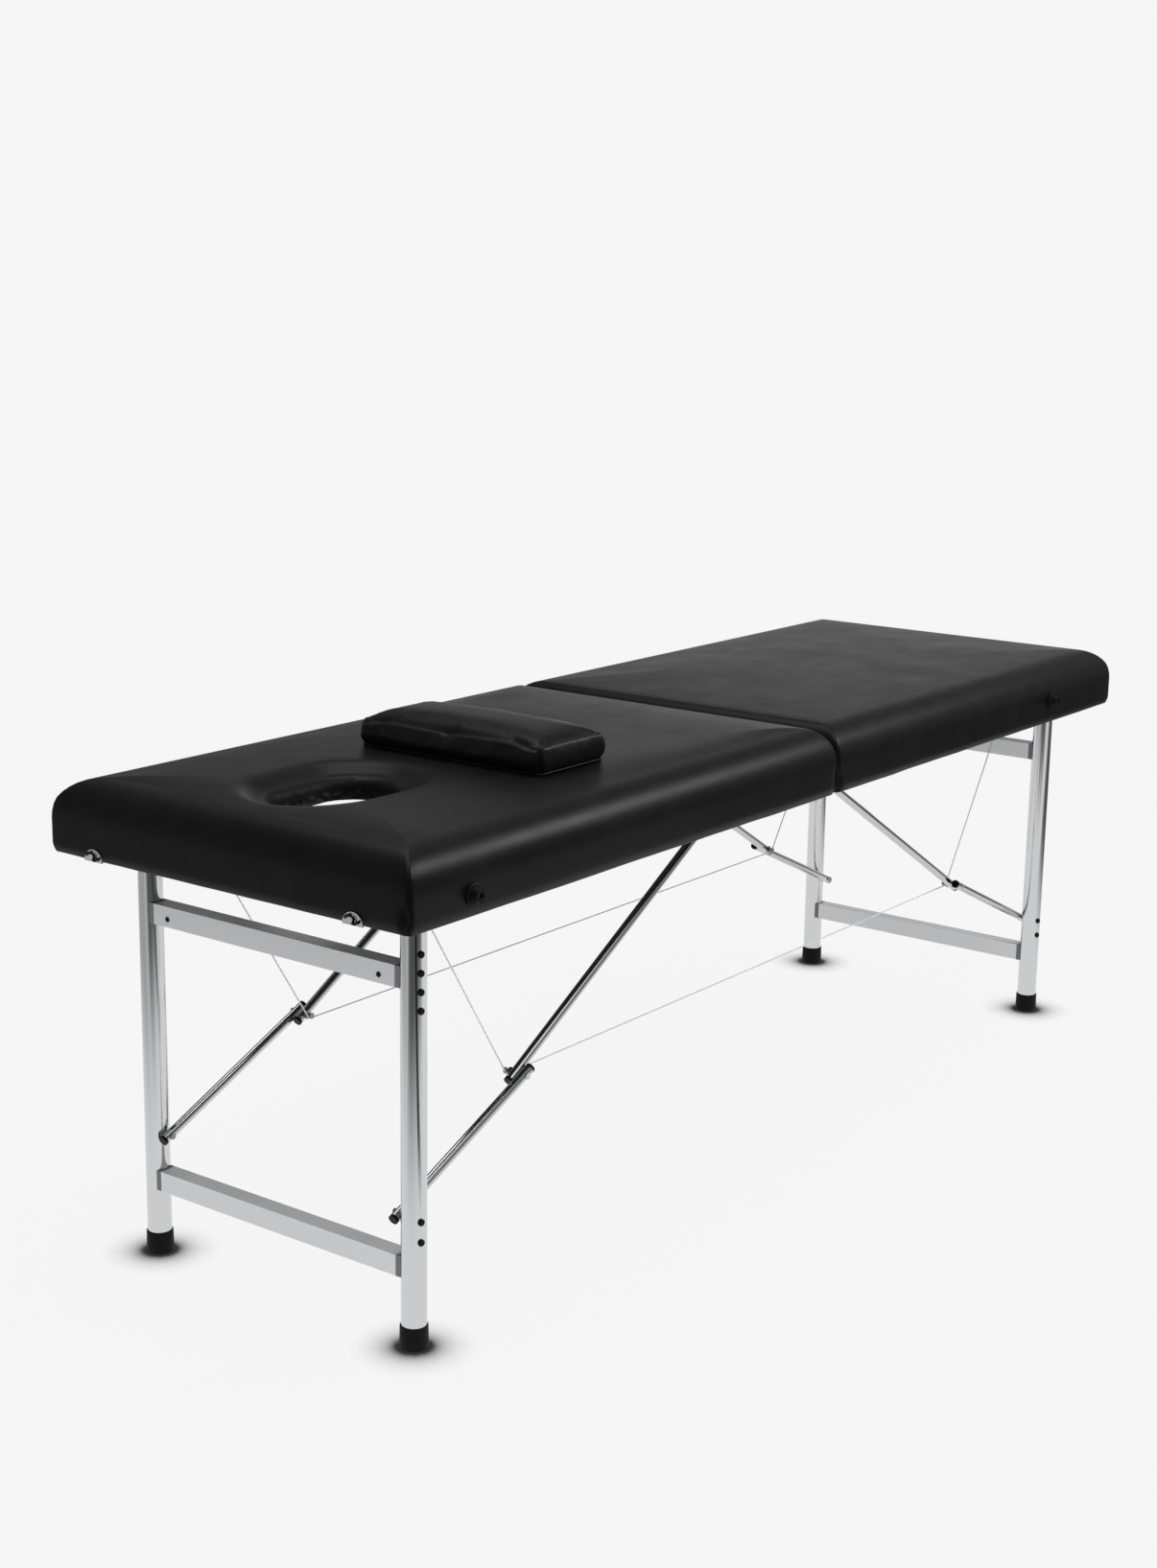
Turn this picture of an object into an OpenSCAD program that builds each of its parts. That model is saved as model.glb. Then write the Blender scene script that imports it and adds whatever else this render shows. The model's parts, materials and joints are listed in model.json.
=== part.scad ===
// Folding massage table: two padded halves hinged at the middle, a leg frame
// under each end, jointed brace links with stay cables, and a loose pillow.
// The floor is z = 0, x runs from the head end to the foot end, y is the width.

/* [Table] */
// Overall length of the open table
table_l = 1850; // [1700:10:2000]
// Overall width of the padded top
table_w = 600; // [580:5:680]
// Height of the underside of the top above the floor
underside_z = 552; // [540:1:600]
// Thickness of the top, from its underside to its crown
top_h = 100; // [96:1:110]
// Gap between the two padded halves
seam = 3; // [3:0.5:6]

/* [Upholstery] */
// Thickness of the vinyl cover
cover_t = 2; // [1.5:0.1:2.5]
// How far the cover is drawn in at its lower hem
tuck = 3.5; // [3:0.1:4]
// Height over which the cover is drawn in
tuck_h = 12; // [8:1:16]
// Rise of the rounded upper edge
edge_rise = 49; // [40:1:52]
// Depth of the rounded edge on the outer sides
edge_run = 50; // [40:1:60]
// Depth of the rounded edge at the fold
fold_run = 26; // [18:1:34]
// Corner radius of the top at its ends
end_corner_r = 10; // [8:1:16]
// Corner radius of the top at the fold
fold_corner_r = 8; // [6:1:12]
// Rise of the crown between the rounded edge and the middle
crown = 6; // [3:0.5:8]
// Space left between cover and foam
foam_gap = 1.2; // [1:0.1:2]

/* [Face hole] */
// Distance of the hole's centre from the head end
hole_end = 203; // [185:1:225]
// Length of the hole along the table
hole_l = 178; // [150:1:190]
// Width of the hole
hole_w = 110; // [100:1:130]
// Radius of the rolled edge round the hole
hole_roll = 16; // [8:1:20]
// How far the padding dips towards the hole
hole_dip = 10; // [0:1:12]
// Width of that dip
dip_run = 18; // [12:1:20]

/* [Wooden frame] */
// Thickness of the rails
rail_t = 18; // [15:1:20]
// Height of the rails, which is the depth of the leg tray
rail_h = 58; // [58:1:60]
// Thickness of the top panel
panel_t = 10; // [6:1:10]

/* [Legs] */
// Distance of the legs from the ends of the table
leg_end = 96; // [90:1:105]
// Distance of the legs from the long sides
leg_side = 78; // [74:1:85]
// Outer diameter of the leg tubes
leg_d = 32; // [28:1:32]
// Wall of the leg tubes
leg_wall = 1.5; // [1:0.1:2]
// Height of the leg pivot above the underside of the top
pivot_h = 26.7; // [26.5:0.1:27]
// Tube left above the leg pivot
leg_top = 8; // [7:0.5:12]
// Diameter of the leg pivot bolt
leg_bolt_d = 8; // [6:0.5:8]
// Sheet thickness of the leg brackets
bracket_t = 2; // [1.5:0.1:2.5]
// Length of the leg brackets along the table
bracket_l = 34; // [30:1:40]

/* [Rubber feet] */
// Diameter of a foot at the floor
foot_d = 36; // [35:0.5:38]
// Height of a foot
foot_h = 30; // [25:1:40]
// Rubber below the end of the tube
foot_base = 6; // [4:1:8]

/* [Crossbars] */
// Depth of the crossbars along the table
bar_d = 25; // [22:1:25]
// Height of the crossbars
bar_h = 27; // [25:1:30]
// Wall of the crossbars
bar_wall = 1.5; // [1:0.1:2]
// Height of the upper crossbar's middle
upper_bar_z = 469; // [460:1:475]
// Height of the lower crossbar's middle
lower_bar_z = 105; // [100:1:115]
// Plastic saddle between crossbar and leg
saddle_l = 2.5; // [2:0.5:6]
// Diameter of the bolt heads on the legs
head_d = 9; // [8:0.5:10]
// Height of the bolt heads on the legs
head_h = 3; // [2:0.5:4]

/* [Brace links] */
// Diameter of the link tubes
link_d = 13; // [12:0.5:13]
// Wall of the link tubes
link_wall = 1.2; // [1:0.1:1.5]
// Distance of the lower links from the legs, across the table
lower_link_in = 23; // [23:0.5:25]
// Distance of the upper links from the legs, across the table
upper_link_in = 37; // [37:0.5:42]
// Height of the link pivot on the leg
leg_pin_z = 167; // [160:1:175]
// Distance of the middle joint from the legs, along the table
mid_reach = 239; // [234:1:244]
// Height of the middle joint
mid_z = 274; // [270:1:278]
// Distance of the upper link's pivot from the fold
top_pin_x = 38; // [38:0.5:40]
// Height of the upper link's pivot above the underside
top_pin_h = 46.7; // [46.5:0.1:46.9]
// Lower link beyond its leg pivot
leg_overshoot = 13; // [10:1:16]
// Links beyond the middle joint
mid_overshoot = 16; // [14:1:16]
// Length of the plastic caps on the link ends
link_cap_l = 4; // [3:0.5:5]
// Diameter and width of the eye at the upper link's pivot
link_eye_d = 12.6; // [11:0.2:12.8]
// Diameter of the pins in the links
link_pin_d = 5; // [4:0.5:5]

/* [Stay cables] */
// Diameter of the stay cables
cable_d = 2; // [1.5:0.1:2.5]
// Distance of the cables from the legs, across the table
cable_in = 49; // [49:0.5:52]
// Distance of the cable eyes from the legs, along the table
eye_reach = 49; // [39:1:59]
// Height of the cable eyes above the underside
eye_h = 14; // [12:1:18]
// Diameter of the eye's ball
eye_d = 10; // [8:0.5:12]
// Diameter of the eye's post
eye_post_d = 6; // [5:0.5:7]

/* [Fold hinges] */
// Distance between the hinges
hinge_pitch = 200; // [180:5:220]
// Length of one hinge
hinge_l = 60; // [50:1:80]
// Height of the hinge leaves
leaf_h = 26; // [20:1:30]
// Thickness of the hinge leaves
leaf_t = 1; // [0.8:0.1:1]
// Diameter of the hinge barrel
barrel_d = 8; // [7:0.5:8]
// Diameter of the hinge pins
hinge_pin_d = 4.6; // [4:0.1:5]
// Distance of the hinge axis below the underside
hinge_drop = 0.5; // [0.3:0.1:0.5]

/* [Case latches] */
// Distance of the latches from the long sides
latch_side = 84; // [75:1:100]
// Radius of the half-round latch plates
latch_r = 16; // [14:1:16]
// Thickness of the latch plates
latch_t = 1.5; // [1:0.1:2]
// Radius of each half of the S-shaped hook
hook_r = 4.5; // [4:0.1:5]
// Width of the hook
hook_w = 3; // [2.5:0.1:3]

/* [Side bumpers] */
// Distance of the head bumper from the head end
head_bumper_end = 110; // [95:1:145]
// Distance of the foot bumper from the foot end
foot_bumper_end = 235; // [205:1:265]
// Height of the head bumper above the underside
head_bumper_h = 28; // [24:1:32]
// Height of the foot bumper above the underside
foot_bumper_h = 38; // [30:1:40]
// Flange diameter of a bumper
bumper_d = 28; // [24:1:30]
// How far a bumper stands out
bumper_out = 12; // [10:1:14]

/* [Carrying handle] */
// Distance of the handle's middle from the head end
handle_end = 463; // [445:1:485]
// Distance between the handle's clips
handle_l = 260; // [240:5:300]
// Width of the strap
strap_w = 28; // [24:1:32]
// Thickness of the strap
strap_t = 3; // [2:0.5:4]
// How far the strap arches out
handle_out = 26; // [20:1:28]
// How far the strap droops in its middle
handle_sag = 14; // [0:1:20]
// Height of the handle's middle line above the underside
handle_h = 30; // [28:1:32]
// Length of a handle clip
clip_l = 22; // [18:1:28]
// Sheet thickness of a handle clip
clip_t = 2; // [1.5:0.1:2.5]

/* [Pillow] */
// Distance between the middles of the pillow and the hole
pillow_reach = 250; // [235:1:265]
// Sideways place of the pillow's middle
pillow_y = -33; // [-40:1:40]
// Size of the pillow along the table
pillow_l = 150; // [130:1:170]
// Size of the pillow across the table
pillow_w = 308; // [280:1:340]
// Height of the pillow at its upper seam
pillow_h = 42; // [36:1:50]
// Rise of the pillow's crown
pillow_crown = 10; // [6:1:16]
// Corner radius of the pillow
pillow_r = 16; // [12:1:24]
// How far the pillow's sides are drawn in
pillow_draw = 3; // [2:0.5:5]
// Thickness of the piping round the pillow
piping_d = 4; // [3:0.5:5]

/* [Hidden] */
$fn = 48;

// Heads of rivets and nuts, as a share of the pin's diameter
rivet_share = 1.7;
// Angle brackets that hold the upper links
brace_cheek_gap = 0.5;
brace_cheek_t = 2.5;
brace_cheek_r = 7;
brace_foot_w = 26;
// Washers on the middle pins
washer_t = 1.5;
washer_d = 12;
// Lip of the rubber feet
foot_lip = 1;
// Space between the two leaves of a hinge on each side of the seam
leaf_gap = 0.2;
// Boss and hook of the case latches
latch_lift = 0.3;
latch_c = 7.5;
boss_d = 12;
boss_h = 1.2;
catch_w = 3;
hook_t = 1.5;
hook_hub_d = 4.2;
// Flange, boss and tip of a bumper
flange_t = 3;
bumper_boss_share = 0.72;
bumper_tip_share = 0.85;
// Ends of the strap behind its clips
strap_tab = 18;
strap_steps = 14;
// Rings of the pillow's crown, and how much of its length they cover
pillow_rise_shares = [0.12, 0.3, 0.55, 0.8];
pillow_cap_share = 0.9;

// Clearance between the panel's edge and the rounded edge of the cover
panel_gap = 1.5;
// Clearance between pieces that are seated on each other
fit = 0.3;
// Radial play of a pin in its bore
play = 0.1;
// Overrun of cutting shapes
over = 1;

// Everything below is drawn for one half, with x counted from the fold.
half_l = table_l / 2;
half_w = table_w / 2;
hole_x = half_l - hole_end;
leg_x = half_l - leg_end;
leg_y = half_w - leg_side;
lower_link_y = leg_y - lower_link_in;
upper_link_y = leg_y - upper_link_in;
mid_x = leg_x - mid_reach;
cable_y = leg_y - cable_in;
eye_x = leg_x - eye_reach;
latch_y = half_w - latch_side;
head_bumper_x = half_l - head_bumper_end;
foot_bumper_x = half_l - foot_bumper_end;
handle_x = half_l - handle_end;
pillow_x = hole_x - pillow_reach;
section_x = seam / 2;
frame_in = tuck + cover_t + fit;
foam_z = rail_h + panel_t;
// The panel's upper edge stays inside the rounded edge of the cover
edge_z = top_h - crown - edge_rise;
panel_turn = foam_z > edge_z ? asin((foam_z - edge_z) / (edge_rise - cover_t)) : 0;
panel_in = max(frame_in, cover_t + edge_run * (1 - cos(panel_turn)) + panel_gap);
leg_r = leg_d / 2;
pivot_z = underside_z + pivot_h;
top_pin_z = underside_z + top_pin_h;
top_z = underside_z + top_h;
bar_y = leg_y - leg_r - saddle_l;
hinge_z = underside_z - hinge_drop;
knuckle_l = hinge_l / 3;
latch_x = half_l + fit;
strap_y = half_w + fit;

// Stations round the outline
corner_steps = 4;
long_mids = 6;
short_mids = 3;
roll_steps = 2;
edge_steps = 5;
min_corner_r = 4;
// Rings between the rounded edge and the hole or the middle
crown_shares = [0.2, 0.5];
// How the dip round the hole sinks, from its outer rim inwards
dip_way_share = 0.45;
dip_sink_share = 0.4;
cap_share = 0.7;

// Bolt heights on the legs, as in the photograph
upper_bolt_zs = [431, 454, 477, 500];
lower_bolt_zs = [141, leg_pin_z];
head_bolt_zs = concat(lower_bolt_zs, upper_bolt_zs);
full_turn = 360;
half_turn = full_turn / 2;
// Angle of the bolt heads from the side towards the head end
bolt_turn = 17;

// A corner arc of the outline, from angle a0 over a quarter turn
function corner(cx, cy, r, a0) =
    [for (i = [0:corner_steps]) let (a = a0 + 90 * i / corner_steps) [cx + r * cos(a), cy + r * sin(a)]];

// Points where rays at even angles from (c, 0) cross a long side or a short side
function long_side(y, xa, xb, c, n) =
    let (a0 = atan((xa - c) / y), a1 = atan((xb - c) / y))
    [for (k = [1:n]) [c + y * tan(a0 + (a1 - a0) * k / (n + 1)), y]];
function short_side(x, ya, yb, c, n) =
    let (a0 = atan(ya / (x - c)), a1 = atan(yb / (x - c)))
    [for (k = [1:n]) [x, (x - c) * tan(a0 + (a1 - a0) * k / (n + 1))]];

// Rounded rectangle from x0 to x1 and w wide, with its own radius at each end
function outline(x0, x1, w, r0, r1, c) = concat(
    corner(x0 + r0, -w / 2 + r0, r0, 180),
    long_side(-w / 2, x0 + r0, x1 - r1, c, long_mids),
    corner(x1 - r1, -w / 2 + r1, r1, 270),
    short_side(x1, -w / 2 + r1, w / 2 - r1, c, short_mids),
    corner(x1 - r1, w / 2 - r1, r1, 0),
    long_side(w / 2, x1 - r1, x0 + r0, c, long_mids),
    corner(x0 + r0, w / 2 - r0, r0, 90),
    short_side(x0, w / 2 - r0, -w / 2 + r0, c, short_mids)
);

// Outline of a half, drawn in by d_fold at the fold and by d elsewhere
function half_ring(d, d_fold, c) = outline(
    section_x + d_fold, half_l - d, table_w - 2 * d,
    max(fold_corner_r - d_fold, min_corner_r), max(end_corner_r - d, min_corner_r), c
);

// Distance from the hole's centre to its stadium outline in direction (u, v)
function stadium(u, v, g) =
    let (b = hole_w / 2 + g, a = (hole_l - hole_w) / 2, s = norm([u, v]), cu = abs(u) / s, sv = abs(v) / s)
    sv * a <= b * cu ? (sv == 0 ? a + b : a * cu + sqrt(b * b - pow(a * sv, 2)))
    : (b * cu / sv <= a ? b / sv : a * cu + sqrt(b * b - pow(a * sv, 2)));

// Ring on the hole's outline, grown by g, on the rays to the points of ring
function hole_ring(ring, g) =
    [for (p = ring) let (u = p.x - hole_x, v = p.y, s = norm([u, v]), r = stadium(u, v, g))
        [hole_x + r * u / s, r * v / s]];

function lift(ring, z) = [for (p = ring) [p.x, p.y, z]];
function blend(a, b, t) = [for (i = [0:len(a) - 1]) a[i] * (1 - t) + b[i] * t];

// The surface of the padding from its hem to the hole or the middle, lying d
// below the outer face; z_from is the lowest height that the surface reaches
function side_rings(d, z_from, c) =
    let (rise = edge_rise - d,
         a0 = z_from > edge_z ? asin((z_from - edge_z) / rise) : 0)
    concat(
        z_from > 0 ? [] : [
            lift(half_ring(tuck + d, tuck + d, c), 0),
            lift(half_ring(d, d, c), tuck_h)
        ],
        [for (i = [0:edge_steps]) let (a = a0 + (90 - a0) * i / edge_steps)
            lift(half_ring(d + edge_run * (1 - cos(a)), d + fold_run * (1 - cos(a)), c),
                 edge_z + rise * sin(a))]
    );
function crown_rings(d, from, target) =
    [for (t = crown_shares) lift(blend(from, target, t), top_h - d - crown * pow(1 - t, 3))];
function dip_rings(d, from) = let (reach = d + hole_roll, brim = hole_ring(from, reach + dip_run)) concat(
    crown_rings(d, from, brim),
    [lift(brim, top_h - d),
     lift(hole_ring(from, reach + dip_run * (1 - dip_way_share)), top_h - d - hole_dip * dip_sink_share)]);
function hole_rings(d, z_from, from) = concat(
    [for (i = [0:roll_steps]) let (a = 90 * i / roll_steps)
        lift(hole_ring(from, d + hole_roll * (1 - sin(a))),
             top_h - hole_dip - d - (hole_roll - d) * (1 - cos(a)))],
    [lift(hole_ring(from, d), z_from)]
);
function top_ring(d, c) = half_ring(d + edge_run, d + fold_run, c);
function open_rings(d, z_from, z_hole) =
    let (ring = top_ring(d, hole_x))
    concat(side_rings(d, z_from, hole_x),
           dip_rings(d, ring),
           hole_rings(d, z_hole, ring));
function closed_rings(d, z_from) =
    let (c = half_l / 2, ring = top_ring(d, c), middle = [for (p = ring) [c, 0]])
    concat(side_rings(d, z_from, c), crown_rings(d, ring, middle),
           [lift(blend(ring, middle, cap_share), top_h - d)]);
function reversed(list) = [for (i = [len(list) - 1:-1:0]) list[i]];

// A solid skinned over rings of equal count; it closes on itself when looped
// and is capped at both ends when not
module skinned(rings, looped) {
    n = len(rings[0]);
    m = len(rings);
    spans = looped ? m : m - 1;
    walls = [for (k = [0:spans - 1], i = [0:n - 1])
        let (j = (i + 1) % n, up = ((k + 1) % m) * n,
             a = k * n + i, b = k * n + j, c = up + j, d = up + i)
        each [[a, c, b], [a, d, c]]];
    hub = floor(corner_steps / 2);
    caps = looped ? [] : [for (i = [1:n - 2])
        let (a = (hub + i) % n, b = (hub + i + 1) % n, e = (m - 1) * n)
        each [[hub, a, b], [e + hub, e + b, e + a]]];
    polyhedron(points = [for (r = rings) each r], faces = concat(walls, caps));
}

module at_head() {
    mirror([1, 0, 0]) children();
}
// The head half of what is alike on both sides of the middle line
module turned() {
    rotate([0, 0, 180]) children();
}
// Both sides of the middle line; the child is drawn on the far side
module both_sides() {
    children();
    mirror([0, 1, 0]) children();
}
module under_top() {
    translate([0, 0, underside_z]) children();
}
// A round bar along y from ya to yb
module bar_y(x, z, d, ya, yb) {
    translate([x, ya, z]) rotate([-90, 0, 0]) cylinder(h = yb - ya, d = d);
}

// Padding
module cover(open) {
    color("#1c1c1e") under_top()
        if (open)
            skinned(concat(open_rings(0, 0, rail_h), reversed(open_rings(cover_t, 0, rail_h))), true);
        else
            skinned(concat(reversed(closed_rings(0, 0)), closed_rings(cover_t, 0)), false);
}
module foam(open) {
    inset = cover_t + foam_gap;
    color("#d9cfa6") under_top()
        if (open) skinned(open_rings(inset, foam_z, foam_z), true);
        else skinned(closed_rings(inset, foam_z), false);
}

// Rounded blank that the rails and the panel are cut from, drawn in from the outer faces
module frame_blank(h, inset) {
    x0 = section_x + inset;
    x1 = half_l - inset;
    w = table_w - 2 * inset;
    r0 = fold_corner_r;
    r1 = end_corner_r;
    translate([x0 + r0, -w / 2, 0]) cube([x1 - r1 - x0 - r0, w, h]);
    translate([x0, -w / 2 + r0, 0]) cube([r0, w - 2 * r0, h]);
    translate([x1 - r1, -w / 2 + r1, 0]) cube([r1, w - 2 * r1, h]);
    both_sides() {
        translate([x0 + r0, w / 2 - r0, 0]) cylinder(h = h, r = r0);
        translate([x1 - r1, w / 2 - r1, 0]) cylinder(h = h, r = r1);
    }
}
module rail_ring() {
    x0 = section_x + frame_in + rail_t;
    x1 = half_l - frame_in - rail_t;
    w = table_w - 2 * (frame_in + rail_t);
    under_top() difference() {
        frame_blank(rail_h, frame_in);
        translate([x0, -w / 2, -over]) cube([x1 - x0, w, rail_h + 2 * over]);
    }
}
module rail_slice(x0, x1) {
    intersection() {
        rail_ring();
        translate([x0, -table_w, underside_z - over]) cube([x1 - x0, 2 * table_w, rail_h + 2 * over]);
    }
}
module side_rails() {
    color("#1e1d1c") rail_slice(section_x + frame_in + rail_t, half_l - frame_in - rail_t);
}
module end_rail() {
    color("#1e1d1c") rail_slice(half_l - frame_in - rail_t, half_l);
}
module fold_rail() {
    color("#1e1d1c") rail_slice(0, section_x + frame_in + rail_t);
}
module panel(open) {
    a = (hole_l - hole_w) / 2;
    r = hole_w / 2 + cover_t + fit;
    color("#242322") translate([0, 0, underside_z + rail_h]) difference() {
        frame_blank(panel_t, panel_in);
        if (open) translate([hole_x, 0, -over]) {
            for (s = [-1, 1]) translate([s * a, 0, 0]) cylinder(h = panel_t + 2 * over, r = r);
            translate([-a, -r, 0]) cube([2 * a, 2 * r, panel_t + 2 * over]);
        }
    }
}

// Leg brackets: a channel under the panel with the leg between its cheeks
module leg_brackets() {
    cheek_y = leg_r + fit;
    cheek_h = rail_h - pivot_h;
    bore = leg_bolt_d + 2 * play;
    color("#b9bcc0") both_sides() difference() {
        union() {
            translate([leg_x - bracket_l / 2, leg_y - cheek_y - bracket_t, underside_z + rail_h - bracket_t])
                cube([bracket_l, 2 * (cheek_y + bracket_t), bracket_t]);
            for (y = [leg_y - cheek_y - bracket_t, leg_y + cheek_y]) {
                translate([leg_x - bracket_l / 2, y, pivot_z]) cube([bracket_l, bracket_t, cheek_h]);
                bar_y(leg_x, pivot_z, bracket_l, y, y + bracket_t);
            }
        }
        bar_y(leg_x, pivot_z, bore, leg_y - leg_d, leg_y + leg_d);
    }
}
// Leg pivot bolts with hexagon ends, and the pins of the upper links
module pivot_pins() {
    grip = leg_r + fit + bracket_t;
    nut_d = rivet_share * leg_bolt_d;
    nut_h = leg_bolt_d / 2;
    pin_in = upper_link_y - link_d / 2 - brace_cheek_gap - brace_cheek_t;
    pin_out = upper_link_y + link_d / 2;
    rivet_h = link_pin_d / 4;
    rivet_d = rivet_share * link_pin_d;
    color("#c9ccd0") both_sides() {
        bar_y(leg_x, pivot_z, leg_bolt_d, leg_y - grip - nut_h, leg_y + grip + nut_h);
        for (y = [leg_y - grip - nut_h, leg_y + grip])
            translate([leg_x, y, pivot_z]) rotate([-90, 0, 0]) cylinder(h = nut_h, d = nut_d, $fn = 6);
        bar_y(top_pin_x, top_pin_z, link_pin_d, pin_in - rivet_h, pin_out + rivet_h);
        bar_y(top_pin_x, top_pin_z, rivet_d, pin_in - rivet_h, pin_in);
        bar_y(top_pin_x, top_pin_z, rivet_d, pin_out, pin_out + rivet_h);
    }
}
// Angle brackets that hold the upper links
module brace_brackets() {
    y1 = upper_link_y - link_d / 2 - brace_cheek_gap;
    panel_z = underside_z + rail_h;
    color("#b9bcc0") both_sides() difference() {
        union() {
            bar_y(top_pin_x, top_pin_z, 2 * brace_cheek_r, y1 - brace_cheek_t, y1);
            translate([top_pin_x - brace_cheek_r, y1 - brace_cheek_t, top_pin_z])
                cube([2 * brace_cheek_r, brace_cheek_t, panel_z - top_pin_z]);
            translate([top_pin_x - brace_cheek_r, y1 - brace_foot_w, panel_z - bracket_t])
                cube([2 * brace_cheek_r, brace_foot_w, bracket_t]);
        }
        bar_y(top_pin_x, top_pin_z, link_pin_d + 2 * play, y1 - 2 * brace_cheek_t, y1 + brace_cheek_t);
    }
}

// Leg frame
module legs() {
    z0 = foot_base + fit;
    color("#c4c8cc") both_sides() difference() {
        translate([leg_x, leg_y, z0]) cylinder(h = pivot_z + leg_top - z0, d = leg_d);
        translate([leg_x, leg_y, z0 - over])
            cylinder(h = pivot_z + leg_top - z0 + 2 * over, d = leg_d - 2 * leg_wall);
        bar_y(leg_x, pivot_z, leg_bolt_d + 2 * play, leg_y - leg_d, leg_y + leg_d);
        bar_y(leg_x, leg_pin_z, link_pin_d + 2 * play, leg_y - leg_d, leg_y);
    }
}
module feet() {
    r0 = foot_d / 2;
    bore_r = leg_r + play;
    color("#161617") both_sides() translate([leg_x, leg_y, 0]) rotate_extrude() polygon([
        [0, 0], [r0 - foot_lip, 0], [r0, foot_lip], [r0, foot_base], [r0 - foot_lip / 2, foot_h - foot_lip],
        [r0 - foot_lip, foot_h], [bore_r, foot_h], [bore_r, foot_base], [0, foot_base]
    ]);
}
module crossbar(z) {
    color("#c4c8cc") translate([leg_x, 0, z]) difference() {
        cube([bar_d, 2 * bar_y, bar_h], center = true);
        cube([bar_d - 2 * bar_wall, 2 * bar_y + 2 * over, bar_h - 2 * bar_wall], center = true);
    }
}
module saddles() {
    plug_l = bar_h / 2;
    inner_d = bar_d - 2 * (bar_wall + play);
    inner_h = bar_h - 2 * (bar_wall + play);
    color("#161617") both_sides() for (z = [lower_bar_z, upper_bar_z]) difference() {
        union() {
            translate([leg_x - bar_d / 2, bar_y, z - bar_h / 2]) cube([bar_d, leg_y - bar_y, bar_h]);
            translate([leg_x - inner_d / 2, bar_y - plug_l, z - inner_h / 2])
                cube([inner_d, plug_l + over, inner_h]);
        }
        translate([leg_x, leg_y, z - bar_h]) cylinder(h = 2 * bar_h, r = leg_r + play);
    }
}
// Domed bolt heads on the outer side of the legs at heights zs, turned round the legs
module bolt_heads(zs, turn) {
    color("#161617") for (half = [0, half_turn], z = zs) translate([leg_x, 0, 0])
        rotate([0, 0, half]) translate([0, leg_y, 0]) rotate([0, 0, turn]) difference() {
            union() {
                bar_y(0, z, head_d, leg_r - head_h, leg_r + head_h / 2);
                translate([0, leg_r + head_h / 2, z]) rotate([-90, 0, 0])
                    cylinder(h = head_h / 2, d1 = head_d, d2 = head_d * 2 / 3);
            }
            translate([0, 0, z - head_d]) cylinder(h = 2 * head_d, r = leg_r + play);
        }
}
// Pins that carry the lower links on the legs, riveted inside the tube
module brace_pins() {
    y0 = lower_link_y - link_d / 2 - play;
    inner_r = leg_r - leg_wall;
    y1 = leg_y - sqrt(pow(inner_r, 2) - pow(rivet_share * link_pin_d / 2, 2)) + play;
    rivet_h = link_pin_d / 4;
    color("#8f9397") both_sides() {
        bar_y(leg_x, leg_pin_z, link_pin_d, y0 - rivet_h, y1 + rivet_h);
        bar_y(leg_x, leg_pin_z, rivet_share * link_pin_d, y0 - rivet_h, y0);
        bar_y(leg_x, leg_pin_z, rivet_share * link_pin_d, y1, y1 + rivet_h);
    }
}

// Brace links; a link's frame has x along the link from its first pin
lower_len = norm([mid_x - leg_x, mid_z - leg_pin_z]);
lower_tilt = atan2(mid_z - leg_pin_z, mid_x - leg_x);
upper_len = norm([mid_x - top_pin_x, mid_z - top_pin_z]);
upper_tilt = atan2(mid_z - top_pin_z, mid_x - top_pin_x);

module along(x, y, z, tilt) {
    translate([x, y, z]) rotate([0, -tilt, 0]) children();
}
module link_tube(x0, x1) {
    translate([x0, 0, 0]) rotate([0, 90, 0]) cylinder(h = x1 - x0, d = link_d);
}
module link_hollow(x0, x1) {
    translate([x0, 0, 0]) rotate([0, 90, 0]) cylinder(h = x1 - x0, d = link_d - 2 * link_wall);
}
module cross_bore(x) {
    bar_y(x, 0, link_pin_d + 2 * play, -link_d, link_d);
}
module link_cap(x, outward) {
    x0 = outward > 0 ? x : x - link_cap_l;
    plug_x = outward > 0 ? x - link_cap_l : x - over;
    translate([x0, 0, 0]) rotate([0, 90, 0]) cylinder(h = link_cap_l, d = link_d);
    translate([plug_x, 0, 0]) rotate([0, 90, 0])
        cylinder(h = link_cap_l + over, d = link_d - 2 * (link_wall + play));
}
// The lower link is a tube open at both ends, with a rivet head at the middle joint
module lower_links() {
    x0 = -leg_overshoot + link_cap_l;
    x1 = lower_len + mid_overshoot - link_cap_l;
    rivet_h = link_pin_d / 4;
    color("#b4b8bc") both_sides() along(leg_x, lower_link_y, leg_pin_z, lower_tilt) {
        difference() {
            link_tube(x0, x1);
            link_hollow(x0 - over, x1 + over);
            cross_bore(0);
        }
        bar_y(lower_len, 0, link_pin_d, link_d / 2 - link_wall, link_d / 2 + rivet_h);
        bar_y(lower_len, 0, rivet_share * link_pin_d, link_d / 2 - link_wall / 2, link_d / 2 + rivet_h);
    }
}
module lower_link_caps() {
    color("#161617") both_sides() along(leg_x, lower_link_y, leg_pin_z, lower_tilt) {
        link_cap(-leg_overshoot + link_cap_l, -1);
        link_cap(lower_len + mid_overshoot - link_cap_l, 1);
    }
}
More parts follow.
